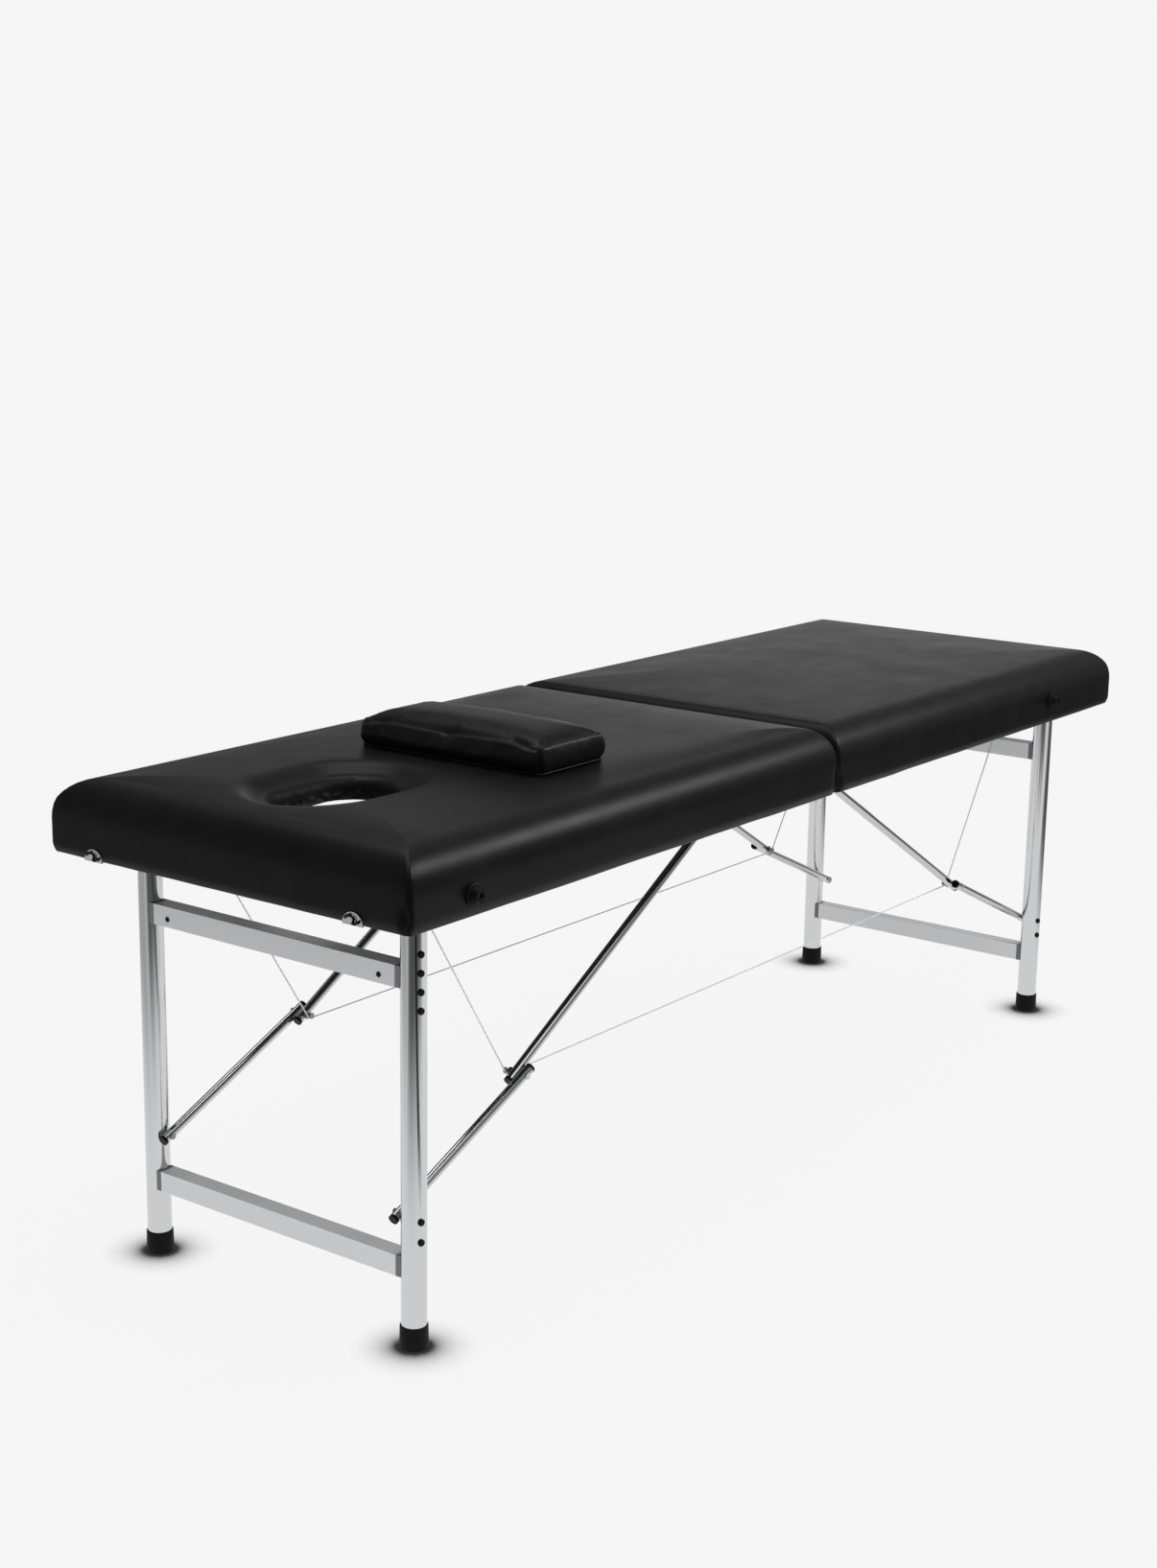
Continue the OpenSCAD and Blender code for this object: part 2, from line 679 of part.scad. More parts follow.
// The upper link has a round solid eye at its pivot under the panel
module upper_links() {
    x1 = upper_len + mid_overshoot - link_cap_l;
    color("#b4b8bc") both_sides() along(top_pin_x, upper_link_y, top_pin_z, upper_tilt) difference() {
        union() {
            bar_y(0, 0, link_eye_d, -link_eye_d / 2, link_eye_d / 2);
            link_tube(link_eye_d / 4, x1);
        }
        link_hollow(link_d, x1 + over);
        cross_bore(0);
        cross_bore(upper_len);
    }
}
module upper_link_caps() {
    color("#161617") both_sides() along(top_pin_x, upper_link_y, top_pin_z, upper_tilt)
        link_cap(upper_len + mid_overshoot - link_cap_l, 1);
}
// The middle pins carry the cables on their inner ends
module mid_pins() {
    y_link = upper_link_y - link_d / 2 - play;
    y_end = cable_y - cable_d / 2 - 2 * washer_t;
    color("#8f9397") both_sides() {
        bar_y(mid_x, mid_z, link_pin_d, y_end, upper_link_y + link_d / 2 + play);
        bar_y(mid_x, mid_z, washer_d, y_link - washer_t, y_link);
        bar_y(mid_x, mid_z, rivet_share * link_pin_d, y_end, y_end + washer_t);
    }
}

// Stay cables: from the eye down to the middle pin, round it, and on to the fold
cable_slope = atan2(mid_z - underside_z - eye_h, mid_x - eye_x);
cable_bend_r = link_pin_d / 2 + cable_d / 2 + fit;
cable_turn = cable_slope + 90;
bend_steps = 4;
cable_sides = 8;
cable_stations = concat(
    [[eye_x, underside_z + eye_h, cable_turn]],
    [for (i = [0:bend_steps]) [mid_x, mid_z, cable_turn + (-90 - cable_turn) * i / bend_steps]],
    [[0, mid_z, -90]]
);
function cable_ring(st) =
    [for (k = [0:cable_sides - 1])
        let (t = full_turn * k / cable_sides, r = cable_bend_r + cable_d / 2 * cos(t))
        [st[0] + r * cos(st[2]), cable_y + cable_d / 2 * sin(t), st[1] + r * sin(st[2])]];
module cables() {
    color("#9a9da1") both_sides() skinned([for (st = cable_stations) cable_ring(st)], false);
}
// Screw eyes under the panel; each ball is drilled for its cable
module cable_eyes() {
    cx = eye_x + cable_bend_r * cos(cable_turn);
    cz = underside_z + eye_h + cable_bend_r * sin(cable_turn);
    color("#8f9397") both_sides() difference() {
        translate([cx, cable_y, 0]) union() {
            translate([0, 0, cz]) sphere(d = eye_d);
            translate([0, 0, cz]) cylinder(h = underside_z + rail_h - cz, d = eye_post_d);
        }
        translate([cx, cable_y, cz]) rotate([0, 90 - cable_slope, 0])
            translate([0, 0, -over]) cylinder(h = eye_d + over, d = cable_d + 2 * fit);
    }
}

// Fold hinges: butt hinges between the halves, their barrel under the seam
module hinge_leaves(outer) {
    starts = outer ? [-hinge_l / 2, knuckle_l / 2] : [-knuckle_l / 2];
    inset = outer ? 0 : play;
    color("#b9bcc0") for (y = [-hinge_pitch, 0, hinge_pitch]) translate([0, y, hinge_z]) difference() {
        union() {
            translate([leaf_gap, -hinge_l / 2, barrel_d / 2 + leaf_gap]) cube([leaf_t, hinge_l, leaf_h]);
            for (s = starts) {
                bar_y(0, 0, barrel_d, s + inset, s + knuckle_l - inset);
                translate([leaf_gap, s + inset, 0]) cube([leaf_t, knuckle_l - 2 * inset, barrel_d]);
            }
        }
        bar_y(0, 0, hinge_pin_d + 2 * play, -hinge_l, hinge_l);
    }
}
module hinge_pins() {
    color("#8f9397") for (y = [-hinge_pitch, 0, hinge_pitch])
        bar_y(0, hinge_z, hinge_pin_d, y - hinge_l / 2, y + hinge_l / 2);
}

// Case latches on the ends
// A round bar along x from xa to xb
module bar_x(y, z, d, xa, xb) {
    translate([xa, y, z]) rotate([0, 90, 0]) cylinder(h = xb - xa, d = d);
}
module half_plate(y) {
    difference() {
        bar_x(y, underside_z, 2 * latch_r, latch_x, latch_x + latch_t);
        translate([latch_x - over, y - latch_r - over, underside_z - latch_r - over])
            cube([latch_t + 2 * over, 2 * (latch_r + over), latch_r + over + latch_lift]);
    }
}
// Plates of the head end, with the boss and rivet that carry the hook
module head_latch_plates() {
    z = underside_z + latch_c;
    x1 = latch_x + latch_t + boss_h;
    x2 = x1 + hook_t + 2 * fit;
    color("#d2d5d9") for (y = [-latch_y, latch_y]) at_head() {
        half_plate(y);
        bar_x(y, z, boss_d, latch_x + latch_t / 2, x1);
        bar_x(y, z, hook_hub_d, x1 - boss_h / 2, x2);
        bar_x(y, z, rivet_share * hook_hub_d, x2, x2 + boss_h);
    }
}
// Plates of the foot end, each with the raised catch that the hook passes over
module foot_latch_plates() {
    z = underside_z + latch_c;
    color("#d2d5d9") for (y = [-latch_y, latch_y]) {
        half_plate(y);
        difference() {
            bar_x(y, z, boss_d, latch_x + latch_t / 2, latch_x + latch_t + boss_h);
            bar_x(y, z, boss_d - 2 * catch_w, latch_x, latch_x + latch_t + boss_h + over);
        }
    }
}
// S-shaped hook that turns on the boss: two half rings and a hub
module latch_hook(y) {
    z = underside_z + latch_c;
    x0 = latch_x + latch_t + boss_h + fit;
    color("#3a3c3f") at_head() difference() {
        union() {
            bar_x(y, z, hook_hub_d + hook_w, x0, x0 + hook_t);
            for (s = [-1, 1]) translate([x0, y + s * hook_r, z]) rotate([0, 90, 0]) difference() {
                cylinder(h = hook_t, r = hook_r + hook_w / 2);
                translate([0, 0, -over]) cylinder(h = hook_t + 2 * over, r = hook_r - hook_w / 2);
                translate([s > 0 ? 0 : -2 * hook_r - hook_w, -2 * hook_r, -over])
                    cube([2 * hook_r + hook_w, 4 * hook_r, hook_t + 2 * over]);
            }
        }
        bar_x(y, z, hook_hub_d + 2 * play, x0 - over, x0 + hook_t + over);
    }
}

// Round rubber bumpers on the near side, which carry the closed case
module bumper(x, h) {
    boss_r = bumper_d / 2 * bumper_boss_share;
    tip_r = boss_r * bumper_tip_share;
    screw_r = boss_r / 3;
    color("#161617") translate([x, -table_w / 2 - fit, underside_z + h]) rotate([90, 0, 0])
        rotate_extrude() polygon([
            [0, 0], [bumper_d / 2, 0], [bumper_d / 2, flange_t / 2], [boss_r + flange_t / 2, flange_t],
            [boss_r, flange_t], [tip_r, bumper_out], [screw_r, bumper_out],
            [screw_r, bumper_out - flange_t], [0, bumper_out - flange_t]
        ]);
}

// Carrying handle on the far side of the head half: a webbing strap in two clips
function strap_ring(x, y, z) = [
    [x, y, z - strap_w / 2], [x, y + strap_t, z - strap_w / 2],
    [x, y + strap_t, z + strap_w / 2], [x, y, z + strap_w / 2]
];
module handle_strap() {
    z0 = underside_z + handle_h;
    x0 = handle_x - handle_l / 2;
    color("#202022") at_head() skinned(concat(
        [strap_ring(x0 - strap_tab, strap_y, z0)],
        [for (i = [0:strap_steps]) let (u = i / strap_steps, s = pow(sin(180 * u), 2))
            strap_ring(x0 + handle_l * u, strap_y + handle_out * s, z0 - handle_sag * s)],
        [strap_ring(x0 + handle_l + strap_tab, strap_y, z0)]
    ), false);
}
module handle_clips() {
    gap = strap_t + 2 * fit;
    h = strap_w + 2 * (clip_t + fit);
    color("#161617") at_head() for (s = [-1, 1])
        translate([handle_x + s * (handle_l + clip_l) / 2 - clip_l / 2, strap_y,
                   underside_z + handle_h - h / 2]) difference() {
            cube([clip_l, gap + clip_t, h]);
            translate([-over, -over, clip_t]) cube([clip_l + 2 * over, gap + over, h - 2 * clip_t]);
        }
}

// Loose box pillow: piped seams, drawn-in sides and a crowned top
function pillow_ring(d, z) =
    let (x = pillow_l / 2 - d, y = pillow_w / 2 - d, r = max(pillow_r - d, min_corner_r))
    lift(concat(
        corner(-x + r, -y + r, r, 180), [[0, -y]],
        corner(x - r, -y + r, r, 270), [[x, -y / 2], [x, 0], [x, y / 2]],
        corner(x - r, y - r, r, 0), [[0, y]],
        corner(-x + r, y - r, r, 90), [[-x, y / 2], [-x, 0], [-x, -y / 2]]
    ), z);
module pillow() {
    b = piping_d / 2;
    h = pillow_h;
    draw = b + pillow_draw;
    reach = pillow_l / 2;
    color("#1c1c1e") translate([-pillow_x, pillow_y, top_z + fit]) skinned(concat(
        [pillow_ring(2 * piping_d, 0), pillow_ring(b, 0), pillow_ring(0, b), pillow_ring(b, piping_d)],
        [pillow_ring(draw, h / 3), pillow_ring(draw, h * 2 / 3)],
        [pillow_ring(b, h - piping_d), pillow_ring(0, h - b), pillow_ring(b, h)],
        [for (t = pillow_rise_shares)
            pillow_ring(piping_d + (reach - piping_d) * t * pillow_cap_share,
                        h - b / 2 + pillow_crown * (1 - pow(1 - t, 2)))]
    ), false);
}

at_head() cover(true);  // head_cover
at_head() foam(true);  // head_foam
at_head() panel(true);  // head_panel
at_head() side_rails();  // head_side_rails
at_head() end_rail();  // head_end_rail
at_head() fold_rail();  // head_fold_rail
at_head() leg_brackets();  // head_leg_brackets
at_head() pivot_pins();  // head_pivot_pins
at_head() brace_brackets();  // head_brace_brackets
at_head() bumper(head_bumper_x, head_bumper_h);  // head_bumper
at_head() hinge_leaves(true);  // head_hinge_leaves
at_head() cable_eyes();  // head_cable_eyes
at_head() cables();  // head_cables
cover(false);  // foot_cover
foam(false);  // foot_foam
panel(false);  // foot_panel
side_rails();  // foot_side_rails
end_rail();  // foot_end_rail
fold_rail();  // foot_fold_rail
leg_brackets();  // foot_leg_brackets
pivot_pins();  // foot_pivot_pins
brace_brackets();  // foot_brace_brackets
bumper(foot_bumper_x, foot_bumper_h);  // foot_bumper
hinge_leaves(false);  // foot_hinge_leaves
cable_eyes();  // foot_cable_eyes
cables();  // foot_cables
hinge_pins();
head_latch_plates();
foot_latch_plates();
latch_hook(-latch_y);  // latch_hook_near
latch_hook(latch_y);  // latch_hook_far
handle_strap();
handle_clips();
pillow();
turned() legs();  // head_legs
turned() crossbar(upper_bar_z);  // head_upper_crossbar
turned() crossbar(lower_bar_z);  // head_lower_crossbar
turned() feet();  // head_feet
turned() saddles();  // head_saddles
at_head() bolt_heads(head_bolt_zs, bolt_turn);  // head_bolt_heads
turned() brace_pins();  // head_brace_pins
turned() upper_links();  // head_upper_links
turned() upper_link_caps();  // head_upper_link_caps
turned() mid_pins();  // head_mid_pins
turned() lower_links();  // head_lower_links
turned() lower_link_caps();  // head_lower_link_caps
legs();  // foot_legs
crossbar(upper_bar_z);  // foot_upper_crossbar
crossbar(lower_bar_z);  // foot_lower_crossbar
feet();  // foot_feet
saddles();  // foot_saddles
bolt_heads(lower_bolt_zs, -bolt_turn);  // foot_bolt_heads
brace_pins();  // foot_brace_pins
upper_links();  // foot_upper_links
upper_link_caps();  // foot_upper_link_caps
mid_pins();  // foot_mid_pins
lower_links();  // foot_lower_links
lower_link_caps();  // foot_lower_link_caps
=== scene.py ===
"""Looks of the folding massage table: upholstery, pillow, tubes, fittings, light and camera."""
import json
import math

import bmesh
import bpy
from mathutils import Matrix, Vector, noise


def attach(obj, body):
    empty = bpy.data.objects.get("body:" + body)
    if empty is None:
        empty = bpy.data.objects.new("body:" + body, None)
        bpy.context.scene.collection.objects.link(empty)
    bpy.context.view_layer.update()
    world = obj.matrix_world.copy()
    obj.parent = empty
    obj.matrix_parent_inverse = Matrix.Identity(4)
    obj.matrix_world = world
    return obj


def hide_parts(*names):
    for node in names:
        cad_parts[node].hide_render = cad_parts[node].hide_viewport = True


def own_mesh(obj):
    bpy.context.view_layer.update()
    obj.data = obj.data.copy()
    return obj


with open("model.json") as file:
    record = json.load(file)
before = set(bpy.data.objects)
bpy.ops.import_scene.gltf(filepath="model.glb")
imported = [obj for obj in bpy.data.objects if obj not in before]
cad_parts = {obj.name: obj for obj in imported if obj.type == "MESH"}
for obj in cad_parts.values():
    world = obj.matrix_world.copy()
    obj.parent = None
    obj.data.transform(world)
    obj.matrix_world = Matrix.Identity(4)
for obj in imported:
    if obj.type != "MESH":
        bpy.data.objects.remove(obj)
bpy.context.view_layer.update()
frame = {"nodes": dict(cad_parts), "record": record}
NODES = frame["nodes"]

# Upholstery, in metres. A half runs from the fold in the middle to its end; most of these sizes
# repeat those of the part
HALF_L = 0.925
TABLE_W = 0.600
UNDERSIDE = 0.552
TOP_H = 0.100
SEAM_HALF = 0.0015
END_R = 0.010
FOLD_R = 0.008
LEAST_R = 0.004
VINYL_T = 0.0014

# The edge rounds over by EDGE_RISE in height, EDGE_RUN deep at the sides and end, FOLD_RUN at the
# fold; the top rises by CROWN over CROWN_RUN
EDGE_RISE = 0.049
EDGE_RUN = 0.050
FOLD_RUN = 0.026
CROWN = 0.006
CROWN_RUN = 0.15

# The side is drawn in by TUCK from TUCK_H down to HEM_H; pulls and the corner's pleat end higher up
TUCK = 0.0035
TUCK_H = 0.014
HEM_H = 0.0016
PULL_H = 0.06
PLEAT_H = 0.034

# Face hole, with the roll of its rim, the dip round it and its gathered lining
HOLE_X = 0.722
HOLE_L = 0.178
HOLE_W = 0.110
HOLE_ROLL = 0.016
HOLE_DIP = 0.014
DIP_RUN = 0.036
LINING_END = 0.0585
LINING_FOLDS = 0.0034
LINING_DRAW = 0.005

# Stations on a half's outline: round a corner, along a side, along an end
CORNER_STEPS = 8
LONG_STEPS = 74
SHORT_STEPS = 44

# Screws of the upper crossbars
BAR_SCREW_IN = 0.025
BAR_SCREW_DROP = 0.003
BAR_SCREW_R = 0.0035
BAR_SCREW_RISE = 0.0016

# Loose pillow
PILLOW_AT = (-0.472, -0.030)
PILLOW_Z = UNDERSIDE + TOP_H + 0.0003
PILLOW_L, PILLOW_W, PILLOW_H = 0.150, 0.314, 0.042
PILLOW_CROWN = 0.010
PILLOW_R = 0.016
PILLOW_CAP = 0.006
PIPING_R = 0.0015
PIPING_IN, PIPING_Z = 0.0062, 0.0019

# Camera fitted to the photograph: yaw, pitch and roll in degrees, place in metres, lens in millimetres
CAMERA_TURN = (53.263, 12.873, 0.863)
CAMERA_AT = (-2.7434, -1.8867, 1.2807)
CAMERA_LENS = 52.093

# Lamps: place, target, size, watts
OVERHEAD = ((-0.3, 0.2, 3.0), (0, 0, 0.5), (2.6, 1.8), 34)
SIDE_LAMP = ((1.77, -1.67, 2.38), (-0.6, -0.3, 0.6), (0.9, 0.9), 36)

# Studio paper, and the even light that everything but mirrors receives
PAPER = "f6f6f6"
EVEN_LIGHT = (0.62, 0.62, 0.63, 1)

# Zones of the reflected studio: azimuth of the middle, half width and soft edge, in degrees
BEYOND_FOOT = (20, 16, 24)
RIGHT_PANEL = (-100, 24, 16)
BEHIND_CAMERA = (-138, 40, 26)
NEAR_SIDE = (-34, 26, 22)
BEYOND_HEAD = (145, 30, 30)
BLACK_FLAG = (-134, 5, 3)


# Camera and light

def camera():
    """The photograph's view, from the fitted camera."""
    yaw, pitch, roll = (math.radians(a) for a in CAMERA_TURN)
    level = math.cos(pitch)
    ahead = Vector((math.sin(yaw) * level, math.cos(yaw) * level, -math.sin(pitch)))
    right = Vector((math.cos(yaw), -math.sin(yaw), 0))
    up = right.cross(ahead)
    side = math.cos(roll) * right + math.sin(roll) * up
    top = -math.sin(roll) * right + math.cos(roll) * up
    data = bpy.data.cameras.new("camera")
    data.sensor_width = 36
    data.lens = CAMERA_LENS
    data.clip_end = 100
    obj = bpy.data.objects.new("camera", data)
    obj.matrix_world = Matrix.Translation(CAMERA_AT) @ Matrix(
        ((side.x, top.x, -ahead.x), (side.y, top.y, -ahead.y), (side.z, top.z, -ahead.z))).to_4x4()
    bpy.context.scene.collection.objects.link(obj)
    bpy.context.scene.camera = obj


def softbox(name, stand, target, size, power):
    """A rectangular lamp that faces a point."""
    data = bpy.data.lights.new(name, "AREA")
    data.shape = "RECTANGLE"
    data.size, data.size_y = size
    data.energy = power
    obj = bpy.data.objects.new(name, data)
    obj.location = stand
    obj.rotation_euler = (Vector(target) - Vector(stand)).to_track_quat("-Z", "Y").to_euler()
    bpy.context.scene.collection.objects.link(obj)


def linear(code):
    """Linear colour of an sRGB hex value."""
    parts = [int(code[i:i + 2], 16) / 255 for i in (0, 2, 4)]
    return [p / 12.92 if p <= 0.04045 else ((p + 0.055) / 1.055) ** 2.4 for p in parts] + [1]


def add(tree, kind, inputs=None, **settings):
    """A node with its settings, and values or links on its inputs."""
    node = tree.nodes.new(kind)
    for key, value in settings.items():
        setattr(node, key, value)
    for key, value in (inputs or {}).items():
        if isinstance(value, bpy.types.NodeSocket):
            tree.links.new(value, node.inputs[key])
        else:
            node.inputs[key].default_value = value
    return node


def zone(tree, turn, middle, half_width, soft):
    """1 where an azimuth is near the middle of a zone, 0 away from it."""
    off = add(tree, "ShaderNodeMath", {0: turn, 1: math.radians(middle)}, operation="SUBTRACT")
    near = add(tree, "ShaderNodeMath", {0: off.outputs[0]}, operation="COSINE")
    outer, inner = (math.cos(math.radians(half_width + s)) for s in (soft / 2, -soft / 2))
    return ramp(tree, near.outputs[0], outer, inner, smooth=True)


def azimuth(tree, vector):
    """Azimuth and height of a direction or place."""
    axes = add(tree, "ShaderNodeSeparateXYZ", {0: vector})
    turn = add(tree, "ShaderNodeMath", {0: axes.outputs["Y"], 1: axes.outputs["X"]}, operation="ARCTAN2")
    return turn.outputs[0], axes.outputs["Z"]


def ramp(tree, value, start, end, low=0.0, high=1.0, smooth=False):
    """Runs from low to high while a value goes from start to end."""
    inputs = {"Value": value, "From Min": start, "From Max": end, "To Min": low, "To Max": high}
    kind = "SMOOTHSTEP" if smooth else "LINEAR"
    return add(tree, "ShaderNodeMapRange", inputs, interpolation_type=kind).outputs[0]


def blend_tones(tree, share, low, high):
    """Grey between two tones."""
    return ramp(tree, share, 0.0, 1.0, low, high)


def both(tree, a, b, operation):
    """Two values put together."""
    return add(tree, "ShaderNodeMath", {0: a, 1: b}, operation=operation).outputs[0]


def studio():
    """Pale backdrop for the camera, even light for the object, a graded sky in its reflections."""
    world = bpy.data.worlds.new("studio")
    bpy.context.scene.world = world
    world.use_nodes = True
    tree = world.node_tree
    tree.nodes.clear()
    ray = add(tree, "ShaderNodeLightPath")
    where = add(tree, "ShaderNodeTexCoord")
    turn, height = azimuth(tree, where.outputs["Generated"])
    # A low bright wall past the foot end shines along the top
    low = ramp(tree, height, 0.02, 0.42, 1.0, 0.0)
    wall = blend_tones(tree, zone(tree, turn, *BEYOND_FOOT), 0.12, 0.96)
    sky = both(tree, wall, low, "MULTIPLY")
    # A tall panel over the photographer's right shoulder lights the cores of the slanting links
    high = ramp(tree, height, 0.5, 0.72, smooth=True)
    panel = both(tree, zone(tree, turn, *RIGHT_PANEL), high, "MULTIPLY")
    sky = both(tree, sky, blend_tones(tree, panel, 0.20, 1.1), "ADD")
    tone = add(tree, "ShaderNodeCombineColor", {0: sky, 1: sky, 2: sky})
    even = add(tree, "ShaderNodeMix",
               {0: ray.outputs["Is Glossy Ray"], 6: EVEN_LIGHT, 7: tone.outputs[0]}, data_type="RGBA")
    seen = add(tree, "ShaderNodeMix",
               {0: ray.outputs["Is Camera Ray"], 6: even.outputs[2], 7: linear(PAPER)}, data_type="RGBA")
    back = add(tree, "ShaderNodeBackground", {"Color": seen.outputs[2], "Strength": 1.0})
    add(tree, "ShaderNodeOutputWorld", {"Surface": back.outputs[0]})


def mirrored_floor(tree, reach, turn):
    """Brightness of the floor in the object's reflections: light near the feet, dim zones further out."""
    away = ramp(tree, reach, 1.05, 2.2, smooth=True)
    dim = both(tree, zone(tree, turn, *BEHIND_CAMERA), zone(tree, turn, *NEAR_SIDE), "MAXIMUM")
    dim = both(tree, dim, blend_tones(tree, zone(tree, turn, *BEYOND_HEAD), 0.0, 0.55), "MAXIMUM")
    tone = blend_tones(tree, both(tree, dim, away, "MULTIPLY"), 0.92, 0.1)
    # A narrow black flag beside the camera draws a darker line down each tube
    flag = both(tree, zone(tree, turn, *BLACK_FLAG), ramp(tree, reach, 0.95, 1.3), "MULTIPLY")
    return both(tree, tone, blend_tones(tree, flag, 1.0, 0.02), "MULTIPLY")


def floor():
    """Pale studio floor: contact shadows for the camera, light and dim zones in reflections."""
    bm = bmesh.new()
    bmesh.ops.create_circle(bm, cap_ends=True, segments=96, radius=30)
    mesh = bpy.data.meshes.new("floor")
    bm.to_mesh(mesh)
    bm.free()
    obj = bpy.data.objects.new("floor", mesh)
    bpy.context.scene.collection.objects.link(obj)
    mat = bpy.data.materials.new("matt_studio_paper")
    mat.use_nodes = True
    tree = mat.node_tree
    tree.nodes.clear()
    ray = add(tree, "ShaderNodeLightPath")
    where = add(tree, "ShaderNodeTexCoord")
    reach = add(tree, "ShaderNodeVectorMath", {0: where.outputs["Object"]}, operation="LENGTH")
    reach = reach.outputs["Value"]
    turn, _ = azimuth(tree, where.outputs["Object"])
    paper = add(tree, "ShaderNodeBsdfDiffuse", {"Color": linear(PAPER)})
    # The camera sees the paper glow evenly, and darker close to the feet
    shade = add(tree, "ShaderNodeAmbientOcclusion", {"Distance": 0.065}, samples=16)
    contact = ramp(tree, shade.outputs["AO"], 0.74, 0.972, 0.02, 1.0)
    lit = add(tree, "ShaderNodeEmission", {"Color": linear(PAPER), "Strength": contact})
    share = ramp(tree, reach, 1.3, 3.2, 0.97, 1.0)
    seen = add(tree, "ShaderNodeMixShader", {0: share, 1: paper.outputs[0], 2: lit.outputs[0]})
    tone = mirrored_floor(tree, reach, turn)
    mirrored = add(tree, "ShaderNodeEmission", {"Color": linear(PAPER), "Strength": tone})
    gloss = add(tree, "ShaderNodeMixShader",
                {0: ray.outputs["Is Glossy Ray"], 1: paper.outputs[0], 2: mirrored.outputs[0]})
    above = add(tree, "ShaderNodeMixShader",
                {0: ray.outputs["Is Camera Ray"], 1: gloss.outputs[0], 2: seen.outputs[0]})
    # Seen from below, the floor is clear, so that the underside can be looked at
    below = add(tree, "ShaderNodeNewGeometry")
    clear = add(tree, "ShaderNodeBsdfTransparent")
    sides = add(tree, "ShaderNodeMixShader",
                {0: below.outputs["Backfacing"], 1: above.outputs[0], 2: clear.outputs[0]})
    add(tree, "ShaderNodeOutputMaterial", {"Surface": sides.outputs[0]})
    mesh.materials.append(mat)


# Materials

def finish(name, colour, rough, metal=0.0, **extra):
    """A Principled material, with its tree, shader and Object coordinates for patterns."""
    mat = bpy.data.materials.new(name)
    mat.use_nodes = True
    tree = mat.node_tree
    shader = tree.nodes["Principled BSDF"]
    shader.inputs["Base Color"].default_value = linear(colour)
    shader.inputs["Roughness"].default_value = rough
    shader.inputs["Metallic"].default_value = metal
    for key, value in extra.items():
        shader.inputs[key.replace("_", " ")].default_value = value
    where = add(tree, "ShaderNodeTexCoord")
    return mat, tree, shader, where.outputs["Object"]


def tint(tree, shader, value, low, high, bounds=(0.35, 0.65)):
    """Colour that runs between two hex values with a pattern."""
    band = add(tree, "ShaderNodeValToRGB", {0: value})
    for element, code, at in zip(band.color_ramp.elements, (low, high), bounds):
        element.color = linear(code)
        element.position = at
    tree.links.new(band.outputs[0], shader.inputs["Base Color"])


def gloss_range(tree, shader, value, low, high):
    """Roughness that runs between two values with a pattern."""
    tree.links.new(blend_tones(tree, value, low, high), shader.inputs["Roughness"])


def relief(tree, shader, *layers):
    """Bumps laid over each other; each layer is a height, its depth in metres and its strength."""
    normal = None
    for height, depth, strength in layers:
        inputs = {"Height": height, "Distance": depth, "Strength": strength}
        if normal:
            inputs["Normal"] = normal
        normal = add(tree, "ShaderNodeBump", inputs).outputs[0]
    tree.links.new(normal, shader.inputs["Normal"])


def clouds(tree, where, size, detail=4.0, rough=0.5, twist=0.0):
    """Noise whose largest features are about size metres."""
    inputs = {"Vector": where, "Scale": 1 / size, "Detail": detail, "Roughness": rough, "Distortion": twist}
    return add(tree, "ShaderNodeTexNoise", inputs).outputs["Fac"]


def drawn_out(tree, where, scale):
    """Coordinates stretched along a piece, for lines and grain."""
    return add(tree, "ShaderNodeMapping", {"Vector": where, "Scale": scale}).outputs[0]


def upholstery_vinyl(name):
    # Calendered PVC on knit backing: a soft satin black with a pebble grain. The real grain is
    # about 0.8 mm; it is drawn at 1.6 mm so that it shows.
    mat, tree, shader, where = finish(name, "0e0e10", 0.4, Specular_IOR_Level=0.15)
    grain = add(tree, "ShaderNodeTexVoronoi", {"Vector": where, "Scale": 1 / 0.0016}, feature="SMOOTH_F1")
    grain = grain.outputs["Distance"]
    soft = clouds(tree, where, 0.045)
    fine = clouds(tree, where, 0.004)
    tint(tree, shader, soft, "0a0a0b", "0f0f11")
    gloss_range(tree, shader, soft, 0.34, 0.46)
    relief(tree, shader, (soft, 0.0012, 0.35), (fine, 0.0003, 0.25), (grain, 0.00025, 0.3))
    return mat


def gathered_vinyl():
    # The same vinyl sewn as a lining, a little duller in its folds; its base colour is darker than the
    # cover's, as painted shade inside the face hole
    mat, tree, shader, where = finish("gathered_lining_vinyl", "060607", 0.55, Specular_IOR_Level=0.14)
    soft = clouds(tree, where, 0.012)
    gloss_range(tree, shader, soft, 0.45, 0.65)
    relief(tree, shader, (soft, 0.0015, 0.5), (clouds(tree, where, 0.003), 0.0004, 0.3))
    return mat


def moulded(name, colour):
    # Injection-moulded nylon: an even tone with the fine spark texture of its mould. The real
    # texture is about 0.1 mm; it is drawn at 1.2 mm.
    mat, tree, shader, where = finish(name, colour, 0.36, Specular_IOR_Level=0.18)
    fine = clouds(tree, where, 0.0012, 2.0)
    gloss_range(tree, shader, clouds(tree, where, 0.01), 0.36, 0.5)
    relief(tree, shader, (fine, 0.0001, 0.3))
    return mat


def moulded_rubber():
    # Compression-moulded rubber: dull black with pale bloom and scuffs
    mat, tree, shader, where = finish("moulded_black_rubber", "090909", 0.62, Specular_IOR_Level=0.16)
    scuff = clouds(tree, where, 0.006, 6.0, 0.65)
    tint(tree, shader, scuff, "060606", "0e0e0e")
    gloss_range(tree, shader, scuff, 0.5, 0.75)
    relief(tree, shader, (scuff, 0.0003, 0.35))
    return mat


